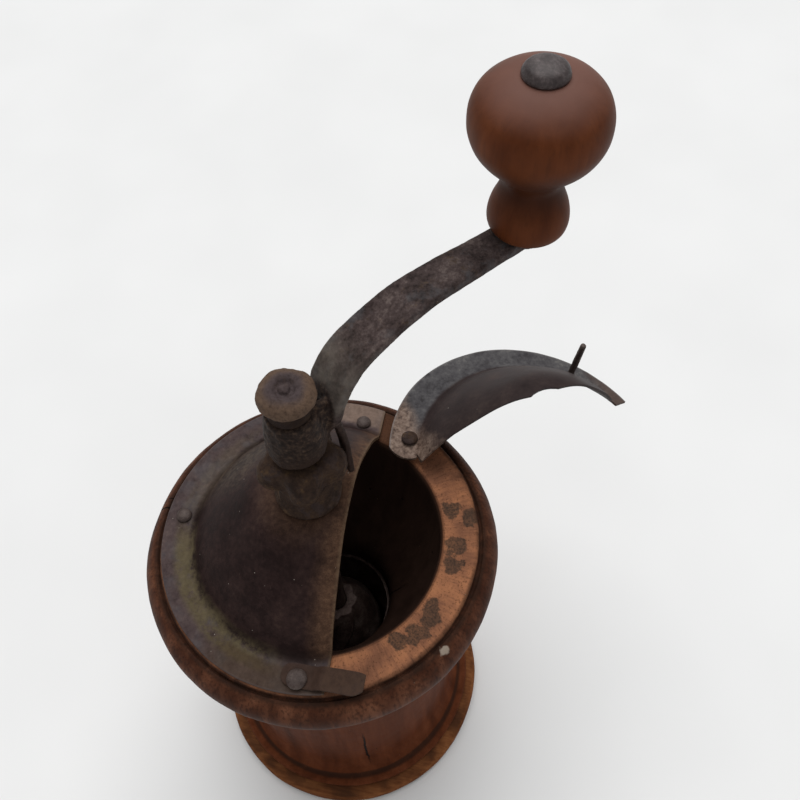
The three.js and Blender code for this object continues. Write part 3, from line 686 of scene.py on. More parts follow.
def lid_steel():
    p = Paint("lid_steel", metallic=0.03, specular=0.08)
    # The lid is painted as it lies when closed, where its dome is round the spindle axis.
    back = p.new("ShaderNodeVectorRotate", rotation_type="AXIS_ANGLE")
    p.read(p.feed(back, Vector=p.place, Center=PIVOT, Axis=LID_AXIS, Angle=-LID_OPEN)[0])
    cloud = p.noise(8, 71, 6, 0.62)
    spot = p.noise(1.7, 72, 6, 0.7)
    fine = p.noise(0.45, 73, 3)
    flange = p.ramp(
        p.weigh(cloud, 0.5, spot, 0.5), (0.36, 0.026, 0.023, 0.0245), (0.46, 0.05, 0.0465, 0.049),
        (0.56, 0.082, 0.078, 0.079), (0.67, 0.16, 0.148, 0.135),
    )
    dome = p.ramp(
        p.weigh(cloud, 0.6, spot, 0.4), (0.36, 0.0165, 0.01, 0.0098), (0.52, 0.029, 0.019, 0.018),
        (0.66, 0.048, 0.033, 0.029),
    )
    slope = p.range(p.add(p.r, p.times(cloud, 2.4)), 45.6, 43.6)
    p.colour = p.mix(slope, flange, dome)
    heel = p.range(p.add(p.y, p.times(cloud, 8)), 36, 43)
    brown = p.ramp(spot, (0.34, 0.034, 0.019, 0.013), (0.5, 0.15, 0.1, 0.076), (0.64, 0.25, 0.182, 0.142))
    p.coat(heel, 0.9, brown)
    tongue = p.range(p.add(p.y, p.times(cloud, 8)), -30, -38)
    p.coat(tongue, 0.8, p.mix(spot, (0.04, 0.025, 0.02), (0.115, 0.075, 0.058)))
    edge = p.range(p.vector("DISTANCE", p.flat, (*LID_ARC_AT, 0)), LID_ARC_R - 0.8, LID_ARC_R - 0.1)
    p.coat(edge, 0.5, (0.17, 0.155, 0.15))
    dots = p.most(p.specks(3.6, 0.22, 0.34), p.specks(8, 0.4, 0.2))
    p.coat(dots, 0.6, (0.32, 0.29, 0.25))
    rough = p.add(0.36, p.weigh(cloud, 0.18, spot, 0.18))
    height = p.weigh(spot, 0.35, fine, 0.1, cloud, 0.4)
    return p.finish(rough, height, 0.18)


def crank_steel():
    p = Paint("crank_steel", metallic=0.03, specular=0.07)
    cloud = p.noise(8, 81, 6, 0.62)
    spot = p.noise(1.2, 82, 6, 0.72)
    hue = p.noise(6, 83, 5, 0.6)
    p.colour = p.ramp(
        p.weigh(cloud, 0.5, spot, 0.5), (0.4, 0.016, 0.01, 0.009), (0.47, 0.038, 0.026, 0.024),
        (0.54, 0.062, 0.044, 0.041), (0.62, 0.12, 0.092, 0.083),
    )
    blue = p.range(hue, 0.5, 0.66, 0, 0.6)
    p.coat(blue, p.mix(spot, (0.03, 0.031, 0.035), (0.098, 0.095, 0.098)))
    ochre = p.range(p.noise(4, 84, 6, 0.7), 0.56, 0.68, 0, 0.55)
    p.coat(ochre, p.mix(spot, (0.04, 0.022, 0.013), (0.13, 0.09, 0.055)))
    root = p.times(p.range(p.z, 244, 234), p.range(p.z, 222, 228), p.range(p.r, 10.5, 12))
    p.coat(root, p.range(cloud, 0.36, 0.6, 0.3, 0.85), (0.155, 0.132, 0.11))
    hub = p.range(p.r, 12.5, 9.5)
    rust = p.ramp(
        spot, (0.36, 0.0085, 0.005, 0.004), (0.5, 0.021, 0.0125, 0.0095), (0.66, 0.07, 0.044, 0.029),
    )
    p.coat(hub, 0.95, rust)
    finger = p.range(p.z, 221, 213)
    p.coat(finger, 0.75, p.mix(spot, (0.012, 0.0065, 0.0055), (0.04, 0.023, 0.016)))
    dots = p.specks(4.2, 0.2, 0.26)
    p.coat(dots, 0.5, (0.2, 0.175, 0.15))
    rough = p.add(0.44, p.weigh(cloud, 0.2, spot, 0.15))
    height = p.weigh(spot, 0.6, cloud, 0.5)
    return p.finish(rough, height, 0.22)


def mottled(name, metallic, specular, cloud, spot, *stops):
    """A metal in the colours of a ramp, in clouds and spots of those noises."""
    p = Paint(name, metallic, specular)
    cloud, spot = p.noise(*cloud), p.noise(*spot)
    p.colour = p.ramp(p.weigh(cloud, 0.6, spot, 0.4), *stops)
    return p, cloud, spot


def rusty_iron():
    p, cloud, spot = mottled(
        "rusty_iron", 0.02, 0.06, (5, 91, 6, 0.66), (0.9, 92, 6, 0.75), (0.3, 0.009, 0.0058, 0.0048),
        (0.44, 0.025, 0.015, 0.0115), (0.56, 0.048, 0.029, 0.02), (0.66, 0.07, 0.043, 0.024),
        (0.76, 0.13, 0.08, 0.04),
    )
    grey = p.range(p.noise(4.5, 93, 5, 0.6), 0.5, 0.6, 0, 0.5)
    p.coat(grey, p.mix(spot, (0.014, 0.009, 0.009), (0.072, 0.053, 0.052)))
    ochre = p.range(p.noise(3.6, 94, 6, 0.7), 0.52, 0.66, 0, 0.65)
    p.coat(ochre, p.mix(spot, (0.036, 0.018, 0.009), (0.14, 0.085, 0.045)))
    neck = p.between(p.z, 229.6, 234.2, 0.6)
    p.coat(neck, 0.7, (0.013, 0.0072, 0.0055))
    cap = p.times(p.range(p.z, 234, 236.5), p.range(p.r, 12, 9))
    crown = p.mix(
        p.range(p.add(p.r, p.times(cloud, 3)), 5.2, 8.2), (0.07, 0.053, 0.054), (0.125, 0.08, 0.055),
    )
    p.coat(cap, p.range(spot, 0.3, 0.6, 0.35, 0.9), crown)
    rough = p.add(0.5, p.weigh(cloud, 0.2, spot, 0.2))
    height = p.weigh(spot, 0.7, cloud, 0.8)
    return p.finish(rough, height, 0.35)


def button_iron():
    p, cloud, spot = mottled(
        "button_iron", 0.1, 0.3, (4, 95, 5), (0.7, 96, 5, 0.7), (0.36, 0.02, 0.0135, 0.013),
        (0.5, 0.048, 0.036, 0.035), (0.66, 0.12, 0.096, 0.094),
    )
    return p.finish(p.add(0.3, p.weigh(cloud, 0.2, spot, 0.1)), p.add(spot, cloud), 0.12)


def nail_steel():
    p, cloud, spot = mottled(
        "nail_steel", 0.08, 0.18, (2.4, 101, 5), (0.6, 102, 5, 0.7), (0.32, 0.03, 0.02, 0.017),
        (0.48, 0.058, 0.041, 0.036), (0.66, 0.1, 0.076, 0.066),
    )
    return p.finish(p.add(0.4, p.times(cloud, 0.25)), p.add(p.times(spot, 0.8), cloud), 0.2)


def burr_steel():
    p, cloud, spot = mottled(
        "burr_steel", 0.4, 0.35, (4.5, 111, 6), (0.8, 112, 5, 0.7), (0.34, 0.034, 0.02, 0.016),
        (0.48, 0.085, 0.053, 0.044), (0.62, 0.17, 0.124, 0.106), (0.74, 0.3, 0.25, 0.22),
    )
    turned = p.noise(0.6, 113, 2, stretch=(12, 12, 1))
    return p.finish(p.add(0.34, p.times(cloud, 0.3)), p.add(spot, p.times(turned, 0.4)), 0.15)


def floor_white():
    p = Paint("floor_white", specular=0.2)
    grain = p.noise(90, 121, 2)
    p.colour = p.ramp(grain, (0.3, 0.74, 0.74, 0.735), (0.7, 0.77, 0.77, 0.765))
    return p.finish(0.85)


# ---------------------------------------------------------------- placing
def place(piece, material, body, slot, *nodes):
    piece.data.materials.clear()
    piece.data.materials.append(material)
    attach(piece, body)
    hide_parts(*nodes)
    return piece


WOOD = body_wood()
KNOB_WOOD = knob_wood()
BASE_WOOD = pale_wood()
BOARD = drawer_wood()
COVER = cover_steel()
LID = lid_steel()
CRANK = crank_steel()
IRON = rusty_iron()
BUTTON = button_iron()
NAIL = nail_steel()
BURR = burr_steel()

# Place and head radius of each nail in the cover's flange.
NAILS = {
    "cover_nail_left": (-46.9, -2.6, 2.6), "cover_nail_back": (4.7, 45.2, 2.6),
    "catch_nail": (5.7, -48.5, 3.2),
}
# The waist and the rim, from the foot moulding up.
WAIST = [
    (50.2, 11.25), (49.3, 12.1), (48.6, 13.4), (47.6, 16.5), (46.6, 20), (46.3, 23), (46, 50),
    (45.5, 80), (45.9, 104), (47.6, 114), (51, 122), (55.4, 129), (58.6, 135), (60, 142), (59.5, 145.8),
    (58, 148.8), (56, 150.9), (54.7, 151.5),
]


def oval(size, turn):
    """Old wood shrinks a little out of round."""
    def form(angle, r, z):
        return r + size * share((r - 30) / 25) * np.cos(2 * (angle - turn)), z + 0 * angle
    return form


def nail_hole(obj, x, y):
    cut(obj, rod(1.4, BELOW, ABOVE, x, y))


def bridge_holes(obj, low, high):
    for y in BRIDGE_SCREWS:
        cut(obj, rod(1.5, low, high, 0, y))


def turned_body():
    line = outline(
        (0, 7.5), (53, 7.5), [(53.7, 8.2), (53.8, 9.2), (53.1, 10.2), (51.8, 10.9)], WAIST,
        [(54.1, 150.6), (53.6, 151)], [(53.3, 152.5), (52.7, RING_Z)], (41.3, RING_Z),
        [
            (40.6, 152.4), (40.4, 147), (40.2, 140), (38.6, 130), (34.6, 119), (28.6, 109), (22.8, 101),
            (21.4, 97),
        ],
        (21.4, 66), (28, 66), (28, 54), (0, 54),
    )
    body = lathe("turned_body_wood", line, form=oval(0.22, 0.6))
    cut(body, block((-WIDE, -25.5, 22), (28, 25.5, 54.5)))  # room for the drawer
    for x, y, _ in NAILS.values():
        nail_hole(body, x, y)
    bridge_holes(body, 60, 79)
    for x, y in BASE_SCREWS:
        cut(body, rod(2.2, 0, 19, x, y))
    cut(body, move(rod(1.4, -15, 6), pivot_tilt()))
    roughen(body, (26, 0.45), (7, 0.12), (2.2, 0.05), keep=lambda p: share((away(p) - 43) / 3))
    return place(body, WOOD, "body", "wood_dark", "turned_body")


def pivot_tilt():
    """From the Z axis to the lid's leaning pivot."""
    turn = Vector((0, 0, 1)).rotation_difference(LID_AXIS)
    return Matrix.Translation(PIVOT) @ turn.to_matrix().to_4x4()


def base_disc():
    line = outline(
        (0, 0), (56.2, 0), [(57.6, 0.8), (58.4, 2.4), (58.5, 4.2), (57.9, 5.7), (56.4, 6.7), (54.4, 7.15)],
        (0, 7.15),
    )
    base = lathe("base_disc_wood", line, form=oval(0.2, 1.4))
    for x, y in BASE_SCREWS:
        cut(base, rod(2.2, -2, 12, x, y))
        cut(base, rod(HEAD_HOLE, -2, 3, x, y))
    roughen(base, (20, 0.35), (6, 0.1), keep=lambda p: share((away(p) - 53) / 3) * share(p[:, 2]))
    return place(base, BASE_WOOD, "body", "wood_pale", "base_disc")


def base_screws():
    for i, (x, y) in enumerate(BASE_SCREWS):
        line = outline((0, 0.5), (4, 0.5), (3.9, 1.3), (1.9, 2.8), (1.9, 16), (0, 18), corner=0.2)
        screw = lathe(f"base_screw_steel_{i + 1}", line, 48)
        cut(screw, move(block((-6, -0.5, 0), (6, 0.5, 1.1)), Matrix.Rotation(0.7 * i, 4, "Z")))
        roughen(screw, (1.5, 0.06))
        move(screw, Matrix.Translation((x, y, 0)))
        place(screw, BURR, "body", "steel_burr", f"base_screw_{i + 1}")


def sheet_line(hole, flange, grow=0, lift=0):
    """Closed section of the pressed sheet: outer face down and out, rounded edge, inner face back."""
    dome = [
        (8.6, DOME_Z), (10.8, 184.55), (13.2, 184.1), (15.8, 183.1), (19.8, 180.6), (26.6, 174.2),
        (33.4, 167.2), (38.2, 160.9), (40.7, 157.2), (42.4, 155.2), (44.6, FLANGE_Z),
    ]
    dome = spline([(hole, DOME_Z), *((r + grow, z) for r, z in dome)], 1.2)
    outer = np.vstack([dome, [(r, FLANGE_Z) for r in [*np.arange(46 + grow, flange, 1.3), flange]]])
    along = np.gradient(outer, axis=0)
    side = np.stack([along[:, 1], -along[:, 0]], 1) / np.linalg.norm(along, axis=1)[:, None]
    inner = outer + side
    lip = [(flange + out, FLANGE_Z - down) for out, down in ((0.28, 0.2), (0.38, 0.5), (0.28, 0.8))]
    closed = np.vstack([outer, lip, inner[::-1], outer[:1]])
    closed[:, 1] += lift
    return closed[::-1]


def edge_x(y):
    return CHORD_X - CHORD_SLOPE * y


def fixed_cover():
    cover = lathe("cover_sheet", sheet_line(6.3, 52.6), form=oval(0.15, 2.2))
    cut(cover, plan([(edge_x(-WIDE), -WIDE), (WIDE, -WIDE), (WIDE, WIDE), (edge_x(WIDE), WIDE)]))
    cut(cover, rod(HEEL_R + 1.4, BELOW, 176, PIVOT.x, PIVOT.y))  # room for the lid's heel
    for x, y, _ in NAILS.values():
        nail_hole(cover, x, y)
    dent(cover, [((-22, -20), 12, 0.5), ((-34, 12), 9, 0.4), ((2, -34), 9, 0.4), ((-6, 30), 10, 0.4)])
    roughen(cover, (19, 0.16), (6, 0.05), keep=lambda p: share((away(p) - 9) / 6))
    return place(cover, COVER, "body", "steel_cover", "fixed_cover")


def dent(obj, places):
    """Presses shallow hollows into a sheet, both faces together."""
    co = read(obj.data)
    for (x, y), size, depth in places:
        far = away(co / MM, x, y) / size
        co[:, 2] -= depth * MM * np.exp(-far * far * 2) * (co[:, 2] / MM > 156)
    write(obj.data, co)


def cover_nails():
    for name, (x, y, radius) in NAILS.items():
        seat, height = (FLANGE_Z + 1.2, 1.4) if name == "catch_nail" else (FLANGE_Z, 1.5)
        z = seat + 0.3
        line = outline(
            (0, 141.2), (1.1, 142.7), (1.1, z), (radius, z),
            [(radius * r, z + height * h) for r, h in ((0.97, 0.4), (0.72, 0.82), (0.35, 0.97), (0, 1))],
            step=0.5, corner=0.15,
        )
        nail = lathe(f"{name}_steel", line, 48, at=(x, y, 0))
        roughen(nail, (2.6, 0.16), (0.8, 0.05), keep=lambda p: share((p[:, 2] - z) / 0.4))
        place(nail, NAIL, "body", "steel_cover", name)


def lid_catch():
    """A spring strip: flat under its nail, then bent up so that the lid's tongue slides under."""
    low, high = corners("lid_catch")
    thick = 0.86
    sections = []
    for x in np.linspace(low.x + 0.15, high.x - 0.15, 40):
        z = low.z + 2.6 / (1 + math.exp(-(x - 11.8) * 1.5)) + 0.03 * max(0, x - 13)
        ease = min(1, (x - low.x) / 3.6)
        round_in = 3.5 * (1 - math.sqrt(max(0, 1 - (1 - ease) ** 2)))
        tip = max(0, (x - high.x) / 4.2 + 1)
        a = low.y + round_in + 0.1 + 2.2 * tip**2.2
        b = high.y - round_in - 0.1 - 0.5 * tip**3
        flare = 0.5 * max(0, min(1, (x - 13) / 6))
        under = [(x, a + (b - a) * u, z + flare * u * u) for u in np.linspace(0, 1, 12)]
        sections.append([(x, y, z + thick) for x, y, z in under] + under[::-1])
    strip = loft("catch_strip", sections)
    bevel(strip, 0.18, 2, 50)
    nail_hole(strip, *NAILS["catch_nail"][:2])
    roughen(strip, (9, 0.12), (2.5, 0.04))
    return place(strip, COVER, "body", "steel_cover", "lid_catch")


def swing_lid():
    def sheet():
        """The round sheet inside the lid's arc."""
        round_sheet = lathe("lid_sheet", sheet_line(10, 60, 1, 2))
        return cut(round_sheet, rod(LID_ARC_R, BELOW, ABOVE, *LID_ARC_AT, 160), "INTERSECT")

    lid = sheet()
    edge = [(-WIDE, SET_BACK), (-44, SET_BACK), (-18, -LAP), (6, -LAP), (30, SET_BACK), (WIDE, SET_BACK)]
    cut(lid, plan([(-WIDE, -WIDE), *[(edge_x(y) + out, y) for y, out in edge], (-WIDE, WIDE)]))
    cut(lid, block((-WIDE, PIVOT.y, BELOW), (PIVOT.x, WIDE, ABOVE)))
    cut(lid, rod(11.4, BELOW, ABOVE))  # room round the collar
    # The dome stops short of the far end, where a flat tongue is left for the catch.
    ends = [(WIDE, -33.7), (27.3, -33.7), (10, -37.5), (-WIDE, -37.5)]
    dome_end = plan([(-WIDE, -WIDE), (WIDE, -WIDE), *ends])
    cut(lid, cut(dome_end, rod(43.5, BELOW - 10, ABOVE + 10, sides=128), "INTERSECT"))
    heel = cut(sheet(), rod(HEEL_R, BELOW, ABOVE, PIVOT.x, PIVOT.y, 48), "INTERSECT")
    cut(heel, rod(43.3, BELOW, ABOVE, sides=96))
    cut(lid, heel, "UNION")
    cut(lid, rod(1.8, BELOW, ABOVE, PIVOT.x, PIVOT.y))
    cut(lid, rod(1.55, BELOW, ABOVE, *LID_PIN))
    dent(lid, [((30, 10), 10, 0.35), ((34, -14), 9, 0.3)])
    flat = lambda p: share(away(p, PIVOT.x, PIVOT.y) / 10 - 0.9) * share((p[:, 0] - 15) / 6)
    roughen(lid, (17, 0.22), (5, 0.06), keep=flat)
    move(lid, lid_swing())
    place(lid, LID, "lid", "steel_lid", "swing_lid")
    under = FLANGE_Z + 1
    line = outline(
        (0, under + 0.1), (1.2, under + 0.1), [(1.25, under + 9), (1.15, under + 18)],
        [(0.9, under + 18.7), (0, under + 18.9)], step=0.6, corner=0.15,
    )
    pin = lathe("lid_pin_steel", line, 32, at=(*LID_PIN, 0))
    roughen(pin, (2, 0.1), (0.7, 0.04), keep=lambda p: share((p[:, 2] - under - 1.6) / 2))
    move(pin, lid_swing())
    place(pin, NAIL, "lid", "steel_cover", "lid_pin")
    line = outline(
        (0, -12), (1.1, -10.5), (1.1, 1.2), (2.9, 1.2), [(2.85, 1.7), (2.2, 2.2), (1, 2.42), (0, 2.45)],
        step=0.5, corner=0.15,
    )
    nail = lathe("pivot_nail_steel", line, 48)
    roughen(nail, (2.2, 0.15), (0.7, 0.05), keep=lambda p: share((p[:, 2] - 1.3) / 0.3))
    move(nail, pivot_tilt())
    place(nail, IRON, "body", "steel_cover", "lid_pivot_nail")


def lid_swing():
    return Matrix.Translation(PIVOT) @ Matrix.Rotation(LID_OPEN, 4, LID_AXIS) @ Matrix.Translation(-PIVOT)


def spindle_stack():
    line = outline((0, 56.5), (3.3, 56.5), (4, 57.3), (4, 234.6), (3.2, 235.5), (0, 235.5), corner=0.2)
    spindle = lathe("spindle_steel", line, 48)
    roughen(spindle, (4, 0.05), (1, 0.03))
    place(spindle, BURR, "crank", "steel_burr", "spindle")
    line = outline(
        (BORE, 180.9), (6, 180.9), (6, 184.9), (9.9, 184.9),
        [(10.3, 186), (10.1, 187.4), (9.4, 188.8), (8.7, 191.4), (8.4, 194.5), (8.1, 197.7)],
        (BORE, 197.7), (BORE, 180.9), step=0.7, corner=0.25,
    )
    collar = lathe("collar_iron", line, 96)
    skin = lambda p: (away(p) > 6.3) * share(197.4 - p[:, 2]) * share(p[:, 2] - 185.1)
    roughen(collar, (4, 0.5), (1.5, 0.2), keep=skin)
    place(collar, IRON, "body", "iron_dark", "bearing_collar")


def adjusting_nut():
    """Five worn lobes, widest at half their height, that roll over into the top and bottom faces."""
    z0, z1 = (c.z for c in corners("adjusting_nut"))
    line = outline(
        (BORE, z0), (9.2, z0),
        [
            (11.2, z0 + 0.6), (12.9, z0 + 2.3), (13.4, z0 + 4.9), (13.1, z0 + 7.5), (11.8, z0 + 9.5),
            (9.8, z1 - 0.15), (8.8, z1),
        ],
        (8.6, z1), (BORE, z1), (BORE, z0), step=0.55, corner=0.3,
    )

    def form(angle, r, z):
        wave = 0.5 + 0.5 * np.cos(5 * (angle - NOTCH_AZIMUTH))
        return r - 3.6 * share(wave) ** 1.3 * share((r - 7.6) / 5.8), z + 0 * angle

    nut = lathe("nut_iron", line, 192, form)
    keep = lambda p: (away(p) > 5) * share(p[:, 2] - z0) * share(z1 - p[:, 2])
    roughen(nut, (7, 1), (2.4, 0.38), (0.8, 0.1), keep=keep)
    place(nut, IRON, "adjuster", "iron_dark", "adjusting_nut")


def cap_nut():
    z = corners("cap_nut")[0].z
    line = outline(
        (BORE, 0), (6.2, 0),
        [(6.1, 3.6), (6.9, 4.9), (7.8, 6.3), (7.7, 7.6), (6.9, 8.9), (5.4, 9.8), (4, 10.2), (3.1, 9.9)],
        [(2.3, 9.1), (1.7, 9.1), (1.4, 9.7), (0.8, 10.1), (0, 10.2)], (0, 6.7), step=0.5, corner=0.2,
    )
    inner = outline((0, 6.7), (BORE, 6.7), (BORE, 0), step=0.7, corner=0.2)
    cap = lathe("cap_iron", closed_cap(line, inner), 128, at=(0, 0, z))
    keep = lambda p: share((away(p) > 5) * share(p[:, 2] - z - 0.4) + (p[:, 2] > z + 8))
    roughen(cap, (5, 0.4), (1.6, 0.2), (0.7, 0.08), keep=keep)
    place(cap, IRON, "crank", "iron_dark", "cap_nut")


def closed_cap(line, inner):
    """Outer face up to the axis, then the inner face from the axis down and out."""
    return np.vstack([line[:-1], inner[1:]])


def bar_sections(centres, widths, thickness, round_to=0.7, side=0):
    """Rounded rectangles along a curve in the XZ plane, for a bar of that thickness."""
    centres = np.array(centres, float)
    along = np.gradient(centres, axis=0)
    along /= np.linalg.norm(along, axis=1)[:, None]
    sections = []
    for (x, z), (tx, tz), w in zip(centres, along, widths):
        h = thickness / 2
        ring = []
        for cu, cv, start in ((1, 1, 0), (-1, 1, 90), (-1, -1, 180), (1, -1, 270)):
            for turn in (0, 30, 60, 90):
                a = math.radians(start + turn)
                u = cu * (w / 2 - round_to) + round_to * math.cos(a)
                v = cv * (h - round_to) + round_to * math.sin(a)
                ring.append((x - tz * v, side + u, z + tx * v))
        sections.append(ring)
    return sections


def crank_arm():
    hub_low = 210.0
    middle = spline(
        [
            (5, 210.5), (6.4, 213), (9.8, 219), (12.4, 229.5), (19, 238.2), (28, 242.8), (37, 245.8),
            (46, 247.1), (56, ARM_Z), (66, ARM_Z), (ARM_REACH, ARM_Z),
        ],
        1.6,
    )
    middle = middle[middle[:, 1] > 212.4]
    outer = share((middle[:, 0] - 13) / (ARM_REACH - 13))
    root = share((middle[:, 0] - 6.5) / 6)
    widths = (14 + (9.6 - 14) * outer) * (0.4 + 0.6 * root * root * (3 - 2 * root))
    profile = outline(
        (0, 0.1), (6.8, 0.1), [(8, 1.8), (8.5, 6), (8.2, 11), (7.2, 17.9), (6.7, 19.5)], (0, 19.5),
        corner=0.6,
    )
    finger = [(8.6, 227), (10.2, 222), (11.6, 216), (12.6, 210), (13.3, 203), (13.7, 187.3)]
    lug = [(6.8, 214.5), (7.8, 219), (8, 224), (7.2, 228.6)]
    parts = [
        loft("arm", bar_sections(middle, widths, ARM_THICK)),
        lathe("hub", profile, 96, at=(0, 0, hub_low)),
        rod(6.3, ARM_Z - ARM_THICK / 2, ARM_Z + ARM_THICK / 2, ARM_REACH, 0, 48, "eye"),
        loft("finger", bar_sections(finger, [3.8, 4.2, 4.3, 4.3, 4.2, 3.7], 2, 0.6, -2.2)),
        loft("lug", bar_sections(lug, [3.2, 4.4, 4.4, 3], 4.6, 1.4, -2.4)),
    ]
    arm = fuse(join("crank_bar", parts), rounds=4)
    cut(arm, rod(BORE, 205, 232))
    cut(arm, rod(2.7, 240, 260, ARM_REACH, 0))

    def keep(p):
        """Nothing in the bores, a little on the finger, and most round the hub."""
        solid = (away(p) > 5) * (away(p, ARM_REACH) > 4) * share((p[:, 2] - hub_low) / 1.5)
        return np.maximum(solid, 0.4 * (p[:, 2] < hub_low)) * (1 + 2 * share((11 - away(p)) / 2))

    roughen(arm, (12, 0.12), (3, 0.09), (1.1, 0.05), keep=keep)
    move(arm, Matrix.Rotation(ARM_AZIMUTH, 4, "Z"))
    place(arm, CRANK, "crank", "steel_crank", "crank_arm")


def knob_and_bolt():
    line = outline(
        (2.6, 0), (8.9, 0),
        [
            (10.4, 1), (11, 3), (10.9, 5.6), (10.2, 8.6), (9.1, 11.4), (8.2, 14), (7.9, 15.8),
            (8.2, 17.4), (9.7, 19.7), (12.7, 22.8), (15.8, 26.8), (17.3, 30.6), (17.6, 33.2), (17.3, 36.6),
            (15.8, 40.3), (13, 43.2), (9.6, 45), (6.8, KNOB_H),
        ],
        (2.6, KNOB_H), (2.6, 0), step=0.8, corner=0.3,
    )
    x, y = KNOB_AT.x, KNOB_AT.y
    form = lambda a, r, z: (r * (1 + 0.004 * np.cos(2 * a + 1)), z + 0 * a)
    knob = lathe("knob_turned", line, 192, form, (x, y, KNOB_Z))
    roughen(knob, (14, 0.16), (5, 0.04), keep=lambda p: away(p, x, y) > 4)
    place(knob, KNOB_WOOD, "knob", "wood_dark", "knob")
    head, tail = KNOB_H + 0.3, -3.9
    line = outline(
        (0, tail - 2), [(2.6, tail - 1.7), (3.8, tail - 0.9), (4, tail - 0.3)], (2.3, tail - 0.3),
        (2.3, head), (5.8, head),
        [(5.65, head + 1), (4.9, head + 2.1), (3.4, head + 2.8), (1.7, head + 3.15), (0, head + 3.2)],
        step=0.5, corner=0.2,
    )
    bolt = lathe("knob_bolt_iron", line, 96, at=(x, y, KNOB_Z))
    roughen(bolt, (4, 0.1), (1.2, 0.04), keep=lambda p: share(p[:, 2] - KNOB_Z - head))
    place(bolt, BUTTON, "crank", "iron_dark", "knob_bolt")


def burrs():
    z0, z1 = (c.z for c in corners("cone_burr"))
    height = z1 - z0
    line = outline(
        (BORE, 0), (16.6, 0),
        [
            (16.9, 1.5), (16.6, 4), (16, 8), (14.8, 13), (13, 18), (10.6, 23), (8.6, height - 0.4),
            (8.2, height),
        ],
        (BORE, height), (BORE, 0), step=0.6, corner=0.2,
    )

    def teeth(angle, r, z):
        wave = np.mod(8 * (angle - 0.05 * z) / (2 * math.pi), 1)
        saw = np.where(wave < 0.72, wave / 0.72, (1 - wave) / 0.28)
        depth = share(z / 8) * share((r - 5) / 4)
        fine = 0.02 * np.cos(40 * (angle + 0.02 * z)) * share((9 - z) / 6) * share((r - 14) / 2)
        return r * (1 - 0.17 * depth * (1 - saw) - np.abs(fine)), z + 0 * angle

    cone = lathe("cone_burr_steel", line, 240, teeth, at=(0, 0, z0))
    place(cone, BURR, "crank", "steel_burr", "cone_burr")
    line = outline(
        (18, 62.7), (27.6, 62.7), (27.6, 65.7), (21.1, 65.7), (21.1, 90), (19.8, 90),
        [(18.9, 81), (17.8, 72), (18, 62.7)], step=0.8, corner=0.2,
    )

    def grooves(angle, r, z):
        inner = (r < 19.9) & (z > 62.8)
        wave = np.abs(np.mod(12 * (angle + 0.035 * z) / (2 * math.pi), 1) - 0.5) * 2
        return np.where(inner, r + 0.75 * (1 - wave) ** 1.5 * (z > 66), r), z + 0 * angle

    ring = lathe("ring_burr_steel", line, 240, grooves)
    bridge_holes(ring, 50, 90)
    place(ring, BURR, "body", "steel_burr", "ring_burr")
    low, high = (c.z for c in corners("burr_nut"))
    nut = rod(6.4, low, high, 0, 0, 6, "burr_nut_steel")
    bevel(nut, 0.5, 2)
    cut(nut, rod(BORE, low - 1, high + 1))
    place(nut, BURR, "crank", "steel_burr", "burr_nut")


def burr_bridge():
    bottom, top = (c.z for c in corners("burr_bridge"))
    foot = top - 1.2
    path = spline(
        [
            (-26.8, foot), (-20.4, foot), (-17.8, bottom + 1.3), (0, bottom + 1.2), (17.8, bottom + 1.3),
            (20.4, foot), (26.8, foot),
        ],
        1,
    )
    parts = [
        loft("strap", bar_sections(path, [10] * len(path), 2.3, 0.5)),
        rod(6.6, bottom + 0.1, bottom + 3.9, 0, 0, 48, "boss"),
    ]
    bridge = fuse(join("bridge_strap", parts), 0.5, 3)
    move(bridge, Matrix.Rotation(math.pi / 2, 4, "Z"))
    cut(bridge, rod(BORE, bottom - 1, bottom + 6))
    bridge_holes(bridge, 50, 90)
    roughen(bridge, (5, 0.12), (1.5, 0.05))
    place(bridge, NAIL, "body", "steel_cover", "burr_bridge")
    for i, y in enumerate(BRIDGE_SCREWS):
        head = corners(f"bridge_screw_{i + 1}")[0].z
        line = outline(
            (0, head), [(1.6, head + 0.05), (2.5, head + 0.7), (2.6, head + 1.5)], (1.2, head + 1.6),
            (1.2, 77), (0, 78.3), step=0.4, corner=0.12,
        )
        screw = lathe(f"bridge_screw_steel_{i + 1}", line, 32, at=(0, y, 0))
        cut(screw, block((-4, y - 0.35, head - 1), (4, y + 0.35, head + 0.6)))
        place(screw, BURR, "body", "steel_burr", f"bridge_screw_{i + 1}")


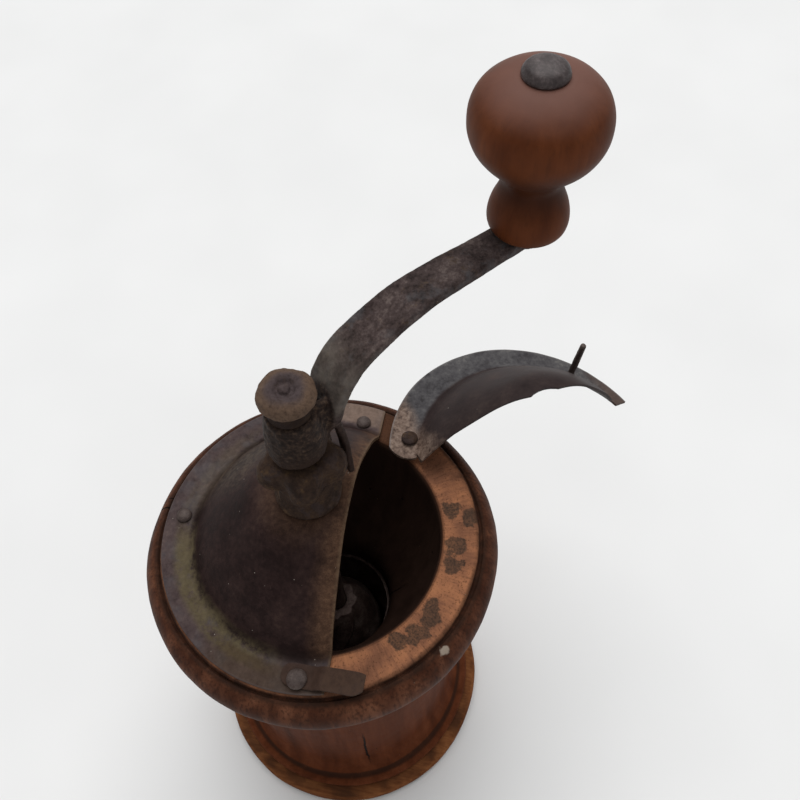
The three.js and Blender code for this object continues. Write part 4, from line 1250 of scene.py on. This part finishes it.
def drawer():
    low, high = corners("drawer_front")
    line = outline((0, 10), (45, 10), [(r, z) for r, z in WAIST if 15 < z < 110], (0, 104))
    front = lathe("drawer_front_wood", line, 256)
    cut(front, block((-60, low.y, low.z), (high.x, high.y, high.z)), "INTERSECT")
    bevel(front, 0.7, 3, 40)
    knob_z = (low.z + high.z) / 2
    side = Matrix.Translation((0, 0, knob_z)) @ Matrix.Rotation(-math.pi / 2, 4, "Y")
    cut(front, move(rod(1.9, 20, 60), side))
    place(front, WOOD, "drawer", "wood_dark", "drawer_front")
    for name in ("drawer_left_side", "drawer_right_side", "drawer_back", "drawer_bottom"):
        a, b = corners(name)
        board = block(a, b, name + "_board")
        bevel(board, 0.45, 2)
        place(board, BOARD, "drawer", "wood_drawer", name)
    start = -corners("drawer_knob")[1].x
    line = outline(
        (1.9, 0), (5, 0),
        [
            (4.6, 1), (3.7, 2.4), (3.4, 4), (4.4, 5.8), (6.4, 7.7), (7, 9.8), (6.2, 11.8),
            (3.8, 13.1), (0, 13.4),
        ],
        (0, 8.5), step=0.5, corner=0.2,
    )
    inner = outline((0, 8.5), (1.9, 8.5), (1.9, 0), step=0.6, corner=0.1)
    stud = lathe("drawer_knob_turned", closed_cap(line, inner), 96, at=(0, 0, start))
    roughen(stud, (5, 0.1), keep=lambda p: share((p[:, 2] - start) / 2) * (away(p) > 2.5))
    move(stud, side)
    place(stud, KNOB_WOOD, "drawer", "wood_dark", "drawer_knob")
    start = -corners("drawer_knob_screw")[1].x
    line = outline(
        (0, 0), [(2.6, 0.3), (3.1, 0.9), (3.2, 1.6)], (1.6, 1.6), (1.6, 19.6), (0, 21), step=0.5,
        corner=0.12,
    )
    screw = lathe("drawer_screw_steel", line, 40, at=(0, 0, start))
    cut(screw, block((-4, -0.4, start - 1), (4, 0.4, start + 0.7)))
    move(screw, side)
    place(screw, BURR, "drawer", "steel_burr", "drawer_knob_screw")


# ---------------------------------------------------------------- scene
def camera():
    data = bpy.data.cameras.new("camera")
    data.sensor_width, data.lens = 36, 38.25
    data.clip_end = 20
    back = Vector((0.1353, -0.5426, 0.8290)).normalized()
    right = Vector((-0.1529, 0.8152, 0.5585)).cross(back).normalized()
    up = back.cross(right)
    cam = new_object("camera", data)
    axes = Matrix((right, up, back)).transposed().to_4x4()
    cam.matrix_world = Matrix.Translation((0.0580, -0.1126, 0.4145)) @ axes
    SCENE.camera = cam


def sun(name, azimuth, elevation, strength, spread):
    """A soft lamp far away, seen at that azimuth and elevation, whose disc is that many degrees wide."""
    data = bpy.data.lights.new(name, "SUN")
    data.energy, data.angle = strength, math.radians(spread)
    a, e = math.radians(azimuth), math.radians(elevation)
    towards = Vector((math.cos(a) * math.cos(e), math.sin(a) * math.cos(e), math.sin(e)))
    new_object(name, data).rotation_euler = towards.to_track_quat("Z", "Y").to_euler()


def studio():
    world = bpy.data.worlds.new("studio")
    SCENE.world = world
    world.use_nodes = True
    sky = world.node_tree.nodes["Background"]
    sky.inputs["Color"].default_value = (0.98, 0.99, 1.0, 1)
    sky.inputs["Strength"].default_value = 0.5
    sun("key", azimuth=100, elevation=66, strength=2.3, spread=55)
    across = np.linspace(-3000, 3000, 9)
    floor = mesh_object(
        "floor",
        [(x, y, 0) for x in across for y in across],
        [[i * 9 + j, i * 9 + j + 9, i * 9 + j + 10, i * 9 + j + 1] for i in range(8) for j in range(8)],
    )
    floor.data.materials.append(floor_white())
    SCENE.view_settings.view_transform = "Standard"


camera()
studio()
turned_body()
base_disc()
base_screws()
fixed_cover()
cover_nails()
lid_catch()
swing_lid()
spindle_stack()
adjusting_nut()
cap_nut()
crank_arm()
knob_and_bolt()
burrs()
burr_bridge()
drawer()
